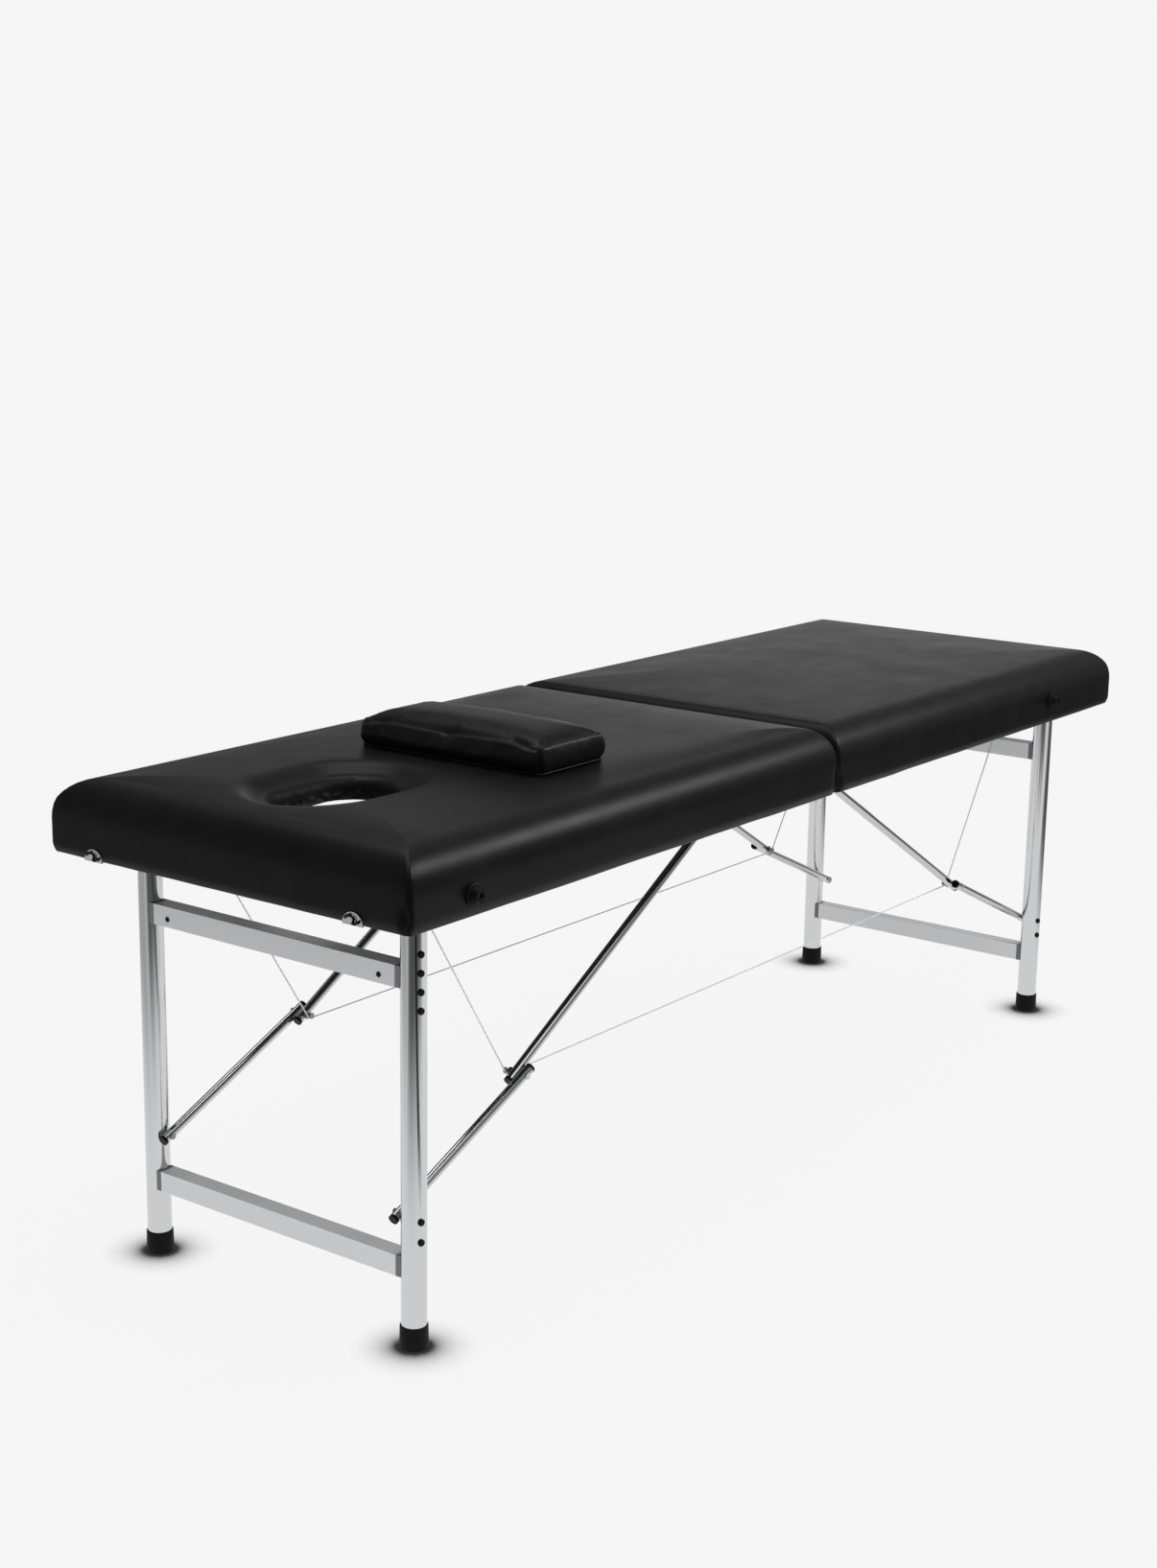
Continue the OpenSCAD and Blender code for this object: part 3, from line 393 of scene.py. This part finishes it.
def bright_tube(name, colour, rough):
    # Drawn tube, polished and bright plated: mirror-like with faint upright draw lines 2.6 mm apart,
    # which are finer on the real tube
    mat, tree, shader, where = finish(name, colour, rough, 1.0)
    lines = clouds(tree, drawn_out(tree, where, (240, 240, 24)), 1 / 1.6, 2.0)
    gloss_range(tree, shader, lines, rough * 0.85, rough * 1.2)
    relief(tree, shader, (lines, 0.00001, 0.03))
    return mat


def satin_bar():
    # Extruded aluminium bar, brushed along its length in lines 1.1 mm apart, under a pale anodised
    # skin that scatters much of the light
    mat, tree, shader, where = finish("satin_anodised_aluminium", "e6e7e8", 0.42, 0.45)
    lines = clouds(tree, drawn_out(tree, where, (900, 12, 900)), 1.0, 2.0)
    gloss_range(tree, shader, lines, 0.36, 0.5)
    relief(tree, shader, (lines, 0.00003, 0.2))
    return mat


def zinc_plate():
    # Pressed sheet steel, bright zinc plated: bluish grey with a faint mottle
    mat, tree, shader, where = finish("bright_zinc_plate", "a9adb2", 0.34, 1.0)
    mottle = clouds(tree, where, 0.008)
    tint(tree, shader, mottle, "9ba0a6", "b7bbbf")
    gloss_range(tree, shader, mottle, 0.26, 0.44)
    relief(tree, shader, (clouds(tree, where, 0.0015), 0.00005, 0.2))
    return mat


def turned_steel(name, colour):
    # Cold-headed steel pins, rivets and hooks: grey or blackened metal with a turned skin
    mat, tree, shader, where = finish(name, colour, 0.28, 1.0)
    gloss_range(tree, shader, clouds(tree, where, 0.002), 0.2, 0.38)
    return mat


def wire_rope():
    # Stranded steel wire under a pale plastic coat, through which its lay shows: the strands are
    # about 0.5 mm and drawn as slanting bands 1.6 mm apart
    mat, tree, shader, where = finish("coated_steel_wire", "eeeeee", 0.4)
    lay = add(tree, "ShaderNodeTexWave", {"Vector": where, "Scale": 1 / 0.0045}, bands_direction="DIAGONAL")
    lay = lay.outputs["Fac"]
    tint(tree, shader, lay, "d8d9da", "f6f6f6", (0.2, 0.8))
    relief(tree, shader, (lay, 0.0002, 0.5))
    return mat


def polished_plate():
    # Pressed steel, polished and chromium plated: cool mirror with fine wipe marks
    mat, tree, shader, where = finish("polished_chromium_plate", "e2e4e6", 0.12, 1.0)
    gloss_range(tree, shader, clouds(tree, where, 0.004), 0.07, 0.2)
    return mat


def stained_ply():
    # Plywood board under a black stain: the rotary-cut figure shows as a faint change of tone
    mat, tree, shader, where = finish("black_stained_plywood", "171615", 0.6, Specular_IOR_Level=0.3)
    along = drawn_out(tree, where, (1.2, 14, 14))
    figure = clouds(tree, along, 1 / 3, 6.0, twist=0.6)
    pores = clouds(tree, along, 1 / 60, 2.0)
    tint(tree, shader, figure, "121110", "211f1d", (0.3, 0.7))
    gloss_range(tree, shader, figure, 0.5, 0.68)
    relief(tree, shader, (pores, 0.0002, 0.3))
    return mat


def stained_rail():
    # Planed hardwood rails under the same stain: straight grain along the rail
    mat, tree, shader, where = finish("black_stained_rail", "141312", 0.52, Specular_IOR_Level=0.35)
    grain = clouds(tree, drawn_out(tree, where, (2.0, 30, 30)), 1 / 4, 5.0, twist=0.3)
    tint(tree, shader, grain, "0f0e0e", "1e1c1a", (0.3, 0.7))
    gloss_range(tree, shader, grain, 0.42, 0.62)
    relief(tree, shader, (grain, 0.0002, 0.3))
    return mat


def strap_webbing():
    # Woven polypropylene webbing, slightly shiny: level ribs of 1.5 mm crossed by a slanting twill,
    # about as coarse as the real weave
    mat, tree, shader, where = finish("woven_polypropylene", "131314", 0.6, Sheen_Weight=0.3)
    inputs = {"Vector": where, "Scale": 1 / 0.0048}
    ribs = add(tree, "ShaderNodeTexWave", inputs, bands_direction="Z")
    slant = add(tree, "ShaderNodeTexWave", inputs, bands_direction="DIAGONAL")
    weave = both(tree, ribs.outputs["Fac"], slant.outputs["Fac"], "MULTIPLY")
    tint(tree, shader, weave, "0a0a0b", "1d1d1f", (0.1, 0.9))
    relief(tree, shader, (weave, 0.0005, 0.7))
    return mat


# Making pieces

def place(bm, name, mats, body, replaces=()):
    """Turns a bmesh into a piece that rides on a body."""
    mesh = bpy.data.meshes.new(name)
    bm.to_mesh(mesh)
    bm.free()
    for mat in mats:
        mesh.materials.append(mat)
    mesh.shade_smooth()
    obj = bpy.data.objects.new(name, mesh)
    bpy.context.scene.collection.objects.link(obj)
    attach(obj, body)
    if replaces:
        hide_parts(*replaces)
    return obj


def drawn_up(bm, rings):
    """Draws a skin from a circle of stations through rings of places."""
    made = bmesh.ops.create_circle(bm, segments=len(rings[0]), radius=1)
    loop = made["verts"]
    for n, ring in enumerate(rings):
        if n:
            pairs = zip(loop, loop[1:] + loop[:1])
            edges = [bm.edges.get(pair) for pair in pairs]
            grown = bmesh.ops.extrude_edge_only(bm, edges=edges)["geom"]
            fresh = {g for g in grown if isinstance(g, bmesh.types.BMVert)}
            loop = [next(o for o in (e.other_vert(v) for e in v.link_edges) if o in fresh) for v in loop]
        for vert, at in zip(loop, ring):
            vert.co = at
    return loop


def spread(a, b, count):
    """Places between two points, without the points themselves."""
    return [a + (b - a) * (k + 1) / (count + 1) for k in range(count)]


# Upholstery

def round_corner(centre, radius, degrees):
    """Place on a corner's arc."""
    a = math.radians(degrees)
    return centre + radius * Vector((math.cos(a), math.sin(a)))


def station_ring(inset, inset_fold):
    """Outline of a half from a fold corner, drawn in by inset_fold at the fold and by inset elsewhere."""
    x0, x1 = SEAM_HALF + inset_fold, HALF_L - inset
    y1 = TABLE_W / 2 - inset
    r0, r1 = max(FOLD_R - inset_fold, LEAST_R), max(END_R - inset, LEAST_R)
    corners = ((Vector((x0 + r0, -y1 + r0)), r0, 180), (Vector((x1 - r1, -y1 + r1)), r1, 270),
               (Vector((x1 - r1, y1 - r1)), r1, 0), (Vector((x0 + r0, y1 - r0)), r0, 90))
    ring = []
    for n, (centre, radius, start) in enumerate(corners):
        for i in range(CORNER_STEPS + 1):
            ring.append(round_corner(centre, radius, start + 90 * i / CORNER_STEPS))
        side_steps = (LONG_STEPS, SHORT_STEPS)[n % 2]
        ring += spread(ring[-1], round_corner(*corners[(n + 1) % 4]), side_steps)
    return ring


def corner_share(k):
    """1 at the middle of a corner of the outline, 0 away from it, and the corner's number."""
    at = 0
    for n in range(4):
        off = abs(k - at - CORNER_STEPS / 2)
        if off <= CORNER_STEPS / 2:
            return 1 - off / (CORNER_STEPS / 2), n
        at += CORNER_STEPS + 1 + (LONG_STEPS, SHORT_STEPS)[n % 2]
    return 0.0, -1


def corner_middle(n):
    """Station at the middle of a corner of the outline."""
    at = CORNER_STEPS / 2
    for m in range(n):
        at += CORNER_STEPS + 1 + (LONG_STEPS, SHORT_STEPS)[m % 2]
    return at


def hole_ring(ring, grow):
    """Places on the face hole's outline, grown by grow, on the rays to the points of a ring."""
    places = []
    for p in ring:
        u, v = p.x - HOLE_X, p.y
        s = math.hypot(u, v)
        cu, sv = abs(u) / s, abs(v) / s
        a, b = (HOLE_L - HOLE_W) / 2, HOLE_W / 2 + grow
        if sv * a <= b * cu:
            r = a * cu + math.sqrt(b * b - (a * sv) ** 2)
        else:
            r = b / sv
        places.append(Vector((HOLE_X + r * u / s, r * v / s)))
    return places


def cover_profile(steps_up=5, steps_round=9):
    """Insets and height of each ring, from the hem under the rails to the inner end of the rounded edge."""
    edge_z = TOP_H - CROWN - EDGE_RISE
    rings = [(0.019, 0.017, -0.0004), (0.013, 0.012, -0.0004), (0.007, 0.006, -0.0003),
             (0.0042, 0.0040, 0.0002), (0.0034, 0.0034, HEM_H)]
    for i in range(1, steps_up):
        t = i / steps_up
        drawn = TUCK * (1 - t) ** 2
        rings.append((drawn, drawn, HEM_H + (TUCK_H - HEM_H) * t))
    rings += [(0.0, 0.0, TUCK_H + (edge_z - TUCK_H) * t) for t in (0.0, 0.25, 0.5, 0.75)]
    for i in range(steps_round + 1):
        a = math.radians(90 * i / steps_round)
        over = 1 - math.cos(a)
        rings.append((EDGE_RUN * over, FOLD_RUN * over, edge_z + EDGE_RISE * math.sin(a)))
    return rings


def slack(at, layer):
    """Gentle unevenness of the stretched top."""
    return 0.0011 * noise.noise(Vector((at.x, at.y, layer)) / 0.11)


def corner_crease(k, z):
    """Depth of the mitred seam in a corner, and of the pleat beside it at the hem."""
    share, n = corner_share(k)
    crease = 0.0022 if share == 1 and 0.02 < z / TOP_H < 0.9 else 0.0
    side = (k - corner_middle(n)) / (CORNER_STEPS / 2) if n >= 0 else 0
    if 0 < side < 0.8 and 0 < z < PLEAT_H:
        crease = 0.0060 * (1 - z / PLEAT_H) ** 0.5
    return crease


def cover_sides(layer):
    """Rings of a cover's hem, sides and rounded edge, with seams, pulls and a slightly wavy hem."""
    rings = []
    for inset, inset_fold, z in cover_profile():
        ring = station_ring(inset, inset_fold)
        within = station_ring(inset + 0.001, inset_fold + 0.001)
        places = []
        for k, (p, q) in enumerate(zip(ring, within)):
            inward = (q - p).normalized() if (q - p).length else Vector((0, 0))
            pull = 0.0
            if 0 < z < PULL_H:
                rise = noise.noise(Vector((p.x * 9, p.y * 9, layer)))
                pull = 0.0011 * max(0.0, rise) * (1 - z / PULL_H)
            wave = 0.0007 * noise.noise(Vector((p.x * 14, p.y * 14, 1.7))) if 0 < z < 0.01 else 0.0
            p = p + inward * (corner_crease(k, z) + pull)
            places.append(Vector((p.x, p.y, UNDERSIDE + z + wave)))
        rings.append(places)
    return rings


def holed_top(rim):
    """Rings over the crown and the dip, then down the face hole's rim and its gathered lining."""
    rings = []
    target = hole_ring(rim, HOLE_ROLL)
    brim = hole_ring(rim, HOLE_ROLL + DIP_RUN)
    steps = [(t, 0) for t in (0.06, 0.13, 0.21, 0.30, 0.40, 0.50, 0.60, 0.69, 0.77, 0.85, 0.93)]
    steps += [(1, step) for step in (0, 0.15, 0.3, 0.45, 0.6, 0.75, 0.88)]
    for t, step in steps:
        places = []
        for p, b, q in zip(rim, brim, target):
            at = p.lerp(b, t).lerp(q, step)
            near = (at - q).length
            short = max(0.0, 1 - (at - p).length / CROWN_RUN) ** 3 * (1 - step)
            z = TOP_H - CROWN * short - HOLE_DIP * math.exp(-(near / (0.5 * DIP_RUN)) ** 2)
            z += slack(at, 0.3) * min(1, near / 0.06)
            places.append(Vector((at.x, at.y, UNDERSIDE + z)))
        rings.append(places)
    for i in range(7):
        a = math.radians(90 * i / 6)
        drop = HOLE_DIP + HOLE_ROLL * (1 - math.cos(a))
        z = UNDERSIDE + TOP_H - drop
        rings.append([Vector((p.x, p.y, z)) for p in hole_ring(rim, HOLE_ROLL * (1 - math.sin(a)))])
    start = TOP_H - HOLE_DIP - HOLE_ROLL
    for i in range(1, 10):
        t = i / 9
        z = UNDERSIDE + start + (LINING_END - start) * t
        places = []
        for p in hole_ring(rim, 0.0):
            out = (p - Vector((HOLE_X, 0))).normalized()
            fold = noise.noise(Vector((out.x * 8, out.y * 8, t * 0.8)))
            fold += 0.5 * noise.noise(Vector((out.x * 18, out.y * 18, t * 1.2)))
            gather = LINING_FOLDS * fold * math.sin(math.pi * min(1, t * 1.1))
            p = p + out * (gather - LINING_DRAW * t ** 2)
            places.append(Vector((p.x, p.y, z)))
        rings.append(places)
    return rings


def plain_top(rim):
    """Rings from the rounded edge over the crown to the middle of the half."""
    rings = []
    middle = Vector((HALF_L / 2, 0))
    for t in (0.05, 0.11, 0.18, 0.26, 0.35, 0.45, 0.55, 0.65, 0.74, 0.82, 0.89, 0.94, 0.98):
        places = []
        for p in rim:
            at = p.lerp(middle, t)
            z = TOP_H - CROWN * (1 - t) ** 3 + slack(at, 5.3) * min(1, t * 4) * (1 - t ** 4)
            places.append(Vector((at.x, at.y, UNDERSIDE + z)))
        rings.append(places)
    return rings


def cover(with_hole, head_end):
    """One half's cover, made towards +X and turned over to -X for the head end."""
    rim = station_ring(EDGE_RUN, FOLD_RUN)
    bm = bmesh.new()
    if with_hole:
        drawn_up(bm, cover_sides(10.1) + holed_top(rim))
    else:
        last = drawn_up(bm, cover_sides(3.1) + plain_top(rim))
        bmesh.ops.contextual_create(bm, geom=last)
    if head_end:
        bmesh.ops.scale(bm, vec=(-1, 1, 1), verts=bm.verts)
    bm.normal_update()
    top = max(bm.faces, key=lambda f: f.calc_center_median().z)
    if top.normal.z < 0:
        bmesh.ops.reverse_faces(bm, faces=bm.faces)
    if with_hole:
        for face in bm.faces:
            c = face.calc_center_median()
            off = math.hypot(abs(c.x) - HOLE_X, c.y)
            if off < HOLE_L / 2 + 0.001 and c.z < UNDERSIDE + TOP_H - HOLE_ROLL:
                face.material_index = 1
    return bm


def upholster(vinyl, lining):
    """Both halves' covers: vinyl skins with their thickness inwards, stretched hard over foam."""
    head = place(cover(True, True), "head_upholstery", (vinyl, lining), "head_section",
                 ("head_cover", "head_foam"))
    foot = place(cover(False, False), "foot_upholstery", (vinyl,), "foot_section",
                 ("foot_cover", "foot_foam"))
    for obj in (head, foot):
        skin = obj.modifiers.new("thickness", "SOLIDIFY")
        skin.thickness = VINYL_T
        skin.offset = -1


# Screws and cables

def screw_head(bm, place_at, out, radius, rise):
    """Pan head with a cross recess on a face that looks along out."""
    before = len(bm.verts)
    profile = ((1.0, 0.0), (1.0, 0.35), (0.82, 0.8), (0.5, 1.0), (0.3, 1.0), (0.22, 0.5))
    rings = []
    for share, height in profile:
        ring = []
        for k in range(24):
            a = 2 * math.pi * k / 24
            cross = 1 + 0.35 * abs(math.cos(2 * a)) ** 3 if share < 0.4 else 1
            r = radius * share * cross
            ring.append(Vector((r * math.cos(a), r * math.sin(a), rise * height)))
        rings.append(ring)
    last = drawn_up(bm, rings)
    bmesh.ops.contextual_create(bm, geom=last)
    bm.verts.ensure_lookup_table()
    turn = Vector((0, 0, 1)).rotation_difference(Vector(out)).to_matrix().to_4x4()
    bmesh.ops.transform(bm, matrix=Matrix.Translation(place_at) @ turn, verts=bm.verts[before:])


def bar_screws(mat):
    """Two self-tapping screws hold each upper crossbar on its plugs."""
    for end, side in (("head", -1), ("foot", 1)):
        bm = bmesh.new()
        low, high = box_of(end + "_upper_crossbar")
        x = low.x if side < 0 else high.x
        z = (low.z + high.z) / 2 - BAR_SCREW_DROP
        for y in (low.y + BAR_SCREW_IN, high.y - BAR_SCREW_IN):
            screw_head(bm, Vector((x, y, z)), (side, 0, 0), BAR_SCREW_R, BAR_SCREW_RISE)
        place(bm, end + "_bar_screws", (mat,), end + "_leg_frame")


def slack_cables():
    """Gives each half's stay cables a mesh of their own."""
    for end in ("head", "foot"):
        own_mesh(NODES[end + "_cables"])


def box_of(node):
    """Corners of a node's bounding box."""
    corners = [NODES[node].matrix_world @ Vector(c) for c in NODES[node].bound_box]
    return tuple(Vector([pick(c[i] for c in corners) for i in range(3)]) for pick in (min, max))


# Pillow

def pillow_ring(inset, z, steps=5, side_steps=(24, 11)):
    """Outline of the pillow, drawn in by inset."""
    x, y, r = PILLOW_L / 2 - inset, PILLOW_W / 2 - inset, max(PILLOW_R - inset, LEAST_R)
    corners = ((x - r, -y + r, 270), (x - r, y - r, 0), (-x + r, y - r, 90), (-x + r, -y + r, 180))
    ring = []
    for n, (cx, cy, start) in enumerate(corners):
        for i in range(steps + 1):
            ring.append(round_corner(Vector((cx, cy)), r, start + 90 * i / steps))
        nx, ny, begin = corners[(n + 1) % 4]
        ring += spread(ring[-1], round_corner(Vector((nx, ny)), r, begin), side_steps[n % 2])
    return [Vector((p.x, p.y, z)) for p in ring]


def cloth_swell(obj, pinned, cap, voxel=0.0045, pressure=4.0, frames=20):
    """Remeshes a closed form, swells it as cloth from its pinned seams and caps how far it may move."""
    remesh = obj.modifiers.new("remesh", "REMESH")
    remesh.mode = "VOXEL"
    remesh.voxel_size = voxel
    apply_modifiers(obj)
    start = [v.co.copy() for v in obj.data.vertices]
    group = obj.vertex_groups.new(name="seams")
    for v in obj.data.vertices:
        if pinned(v.co):
            group.add([v.index], 1.0, "REPLACE")
    cloth = obj.modifiers.new("cloth", "CLOTH")
    settings = cloth.settings
    settings.use_pressure = True
    settings.uniform_pressure_force = pressure
    settings.effector_weights.gravity = 0
    settings.vertex_group_mass = "seams"
    settings.tension_stiffness = settings.compression_stiffness = 15
    settings.bending_stiffness = 0.4
    cloth.collision_settings.use_collision = False
    cloth.point_cache.frame_end = frames
    for frame_number in range(1, frames + 1):
        bpy.context.scene.frame_set(frame_number)
    apply_modifiers(obj)
    bpy.context.scene.frame_set(1)
    for v, at in zip(obj.data.vertices, start):
        moved = v.co - at
        if moved.length > cap:
            v.co = at + moved * (cap / moved.length)


def apply_modifiers(obj):
    """Applies what modifiers a piece has to its mesh."""
    shape = bpy.data.meshes.new_from_object(obj.evaluated_get(bpy.context.evaluated_depsgraph_get()))
    obj.modifiers.clear()
    old = obj.data
    obj.data = shape
    bpy.data.meshes.remove(old)


def seam_line(co, inset):
    """Distance of a place from the pillow's outline drawn in by inset."""
    x, y, r = PILLOW_L / 2 - inset, PILLOW_W / 2 - inset, max(PILLOW_R - inset, LEAST_R)
    u, v = abs(co.x) - (x - r), abs(co.y) - (y - r)
    return math.hypot(max(u, 0), max(v, 0)) + min(max(u, v), 0) - r


def on_seams(co):
    """Whether a place is on the pillow's flat underside or on the seams round its two faces."""
    by_edge = abs(seam_line(co, 0.001)) < 0.004
    return co.z < 0.002 or (by_edge and (co.z < 0.006 or co.z > PILLOW_H - 0.006))


def pillow_form():
    """Closed form before it is swelled: flat underside, rounded sides, crowned top."""
    h = PILLOW_H
    profile = [(0.052, 0.0006), (0.030, 0.0006), (0.014, 0.0006), (0.0095, 0.001), (0.0055, 0.004),
               (0.0025, 0.010), (0.0005, h * 0.4), (0.0005, h * 0.62), (0.0020, h * 0.8),
               (0.0045, h - 0.0045)]
    for i in range(1, 10):
        t = i / 10
        rise = (PILLOW_CROWN - 0.003) * (1 - (1 - t) ** 2.4)
        profile.append((0.0025 + 0.069 * t, h - 0.0015 + rise))
    rings = [pillow_ring(inset, z) for inset, z in profile]
    bm = bmesh.new()
    last = drawn_up(bm, rings)
    first = bm.verts[:len(rings[0])]
    bmesh.ops.contextual_create(bm, geom=last)
    bmesh.ops.contextual_create(bm, geom=first)
    bmesh.ops.recalc_face_normals(bm, faces=bm.faces)
    return bm


def groove_top(co, edge):
    """The top seam's groove lies inside its bead."""
    if co.z > PILLOW_H - 0.006:
        co.z -= 0.0026 * math.exp(-((edge + 0.0125) / 0.0028) ** 2)
        co.z += 0.0014 * math.exp(-((edge + 0.0065) / 0.003) ** 2)


def wrinkle_sides(co, edge):
    """Coarse and fine wrinkles on the gusset."""
    if 0.004 < co.z < PILLOW_H - 0.003 and edge > -0.012:
        out = Vector((co.x / PILLOW_L, co.y / PILLOW_W, 0)).normalized()
        rise = math.sin(math.pi * co.z / PILLOW_H) ** 1.5
        wrinkle = noise.noise(Vector((co.x * 48, co.y * 48, co.z * 14)))
        wrinkle += 0.6 * noise.noise(Vector((co.x * 110, co.y * 110, co.z * 30 + co.y * 40)))
        co += out * 0.0032 * rise * wrinkle


def droop_corners(co):
    """The corners hold less filling and droop, the far ones more."""
    reach = math.hypot(max(0, abs(co.x) / PILLOW_L - 0.22), max(0, abs(co.y) / PILLOW_W - 0.36))
    share = 1.1 if co.y > 0 else 0.7
    co.z -= share * 0.006 * min(1, reach / 0.3) ** 1.5 * (co.z / PILLOW_H)


def slit_corners(co):
    """Mitred corners: the end gusset meets the long side in a slit."""
    for cx, cy in ((1, 1), (1, -1), (-1, 1), (-1, -1)):
        u, w = abs(co.x) - (PILLOW_L / 2 - 0.006), abs(co.y) - (PILLOW_W / 2 - 0.006)
        near = u > -0.006 and w > -0.006 and 0.004 < co.z < PILLOW_H - 0.004
        if co.x * cx > 0 and co.y * cy > 0 and near:
            slit = math.exp(-((u - w) / 0.0022) ** 2)
            depth = 0.0048 * slit * math.sin(math.pi * co.z / PILLOW_H) ** 0.5
            co -= Vector((cx, cy, 0)).normalized() * depth


def pillow(vinyl):
    """Loose box pillow with wrinkled sides, swelled as cloth and piped round its underside."""
    obj = place(pillow_form(), "loose_pillow", (vinyl,), "pillow", ("pillow",))
    cloth_swell(obj, on_seams, PILLOW_CAP)
    for v in obj.data.vertices:
        edge = seam_line(v.co, 0.0)
        groove_top(v.co, edge)
        wrinkle_sides(v.co, edge)
        droop_corners(v.co)
        slit_corners(v.co)
    to_place = Matrix.Translation((*PILLOW_AT, PILLOW_Z))
    obj.data.transform(to_place)
    obj.data.shade_smooth()
    smooth = obj.modifiers.new("smooth", "SUBSURF")
    smooth.levels = smooth.render_levels = 1
    piping = tube_ring([to_place @ p for p in pillow_ring(PIPING_IN, PIPING_Z)], PIPING_R)
    place(piping, "pillow_piping", (vinyl,), "pillow")


def tube_ring(points, radius, sides=8):
    """A closed round cord through a ring of points."""
    bm = bmesh.new()
    rings = []
    count = len(points)
    for k in range(sides + 1):
        a = 2 * math.pi * k / sides
        ring = []
        for i, p in enumerate(points):
            along = (points[(i + 1) % count] - points[i - 1]).normalized()
            out = along.cross(Vector((0, 0, 1)))
            ring.append(p + radius * (math.cos(a) * out + math.sin(a) * Vector((0, 0, 1))))
        rings.append(ring)
    drawn_up(bm, rings)
    bmesh.ops.remove_doubles(bm, verts=bm.verts, dist=radius / 50)
    bmesh.ops.recalc_face_normals(bm, faces=bm.faces)
    return bm


# The whole object

def main():
    camera()
    studio()
    softbox("overhead", *OVERHEAD)
    softbox("side", *SIDE_LAMP)
    floor()
    vinyl = upholstery_vinyl("calendered_black_vinyl")
    pillow_vinyl = upholstery_vinyl("soft_pillow_vinyl")
    lining = gathered_vinyl()
    nylon = moulded("moulded_black_nylon", "060607")
    grey_nylon = moulded("moulded_grey_nylon", "7d7f82")
    rubber = moulded_rubber()
    leg_chrome = bright_tube("polished_plated_tube", "d9dadb", 0.13)
    link_chrome = bright_tube("bright_plated_link", "cdced0", 0.11)
    satin = satin_bar()
    zinc = zinc_plate()
    steel = turned_steel("turned_steel", "8e9296")
    wire = wire_rope()
    plate = polished_plate()
    hook = turned_steel("blackened_steel", "2a2b2d")
    board = stained_ply()
    rail = stained_rail()
    webbing = strap_webbing()
    by_slot = {
        "black_vinyl": vinyl, "black_vinyl_pillow": pillow_vinyl, "foam": board, "plywood": board,
        "rail_wood": rail, "zinc_plate": zinc, "steel_pin": steel, "cable_steel": wire,
        "leg_aluminium": leg_chrome, "bar_aluminium": satin, "link_chrome": link_chrome,
        "latch_chrome": plate, "hook_steel": hook, "rubber": rubber, "black_plastic": nylon,
        "webbing": webbing}
    for part in frame["record"]["subparts"]:
        mesh = NODES[part["node"]].data
        mesh.materials.clear()
        saddle = "saddle" in part["node"]
        mesh.materials.append(grey_nylon if saddle else by_slot[part["material_slot"]])
    upholster(vinyl, lining)
    pillow(pillow_vinyl)
    bar_screws(hook)
    slack_cables()


main()
bpy.context.scene.view_settings.view_transform = "Standard"
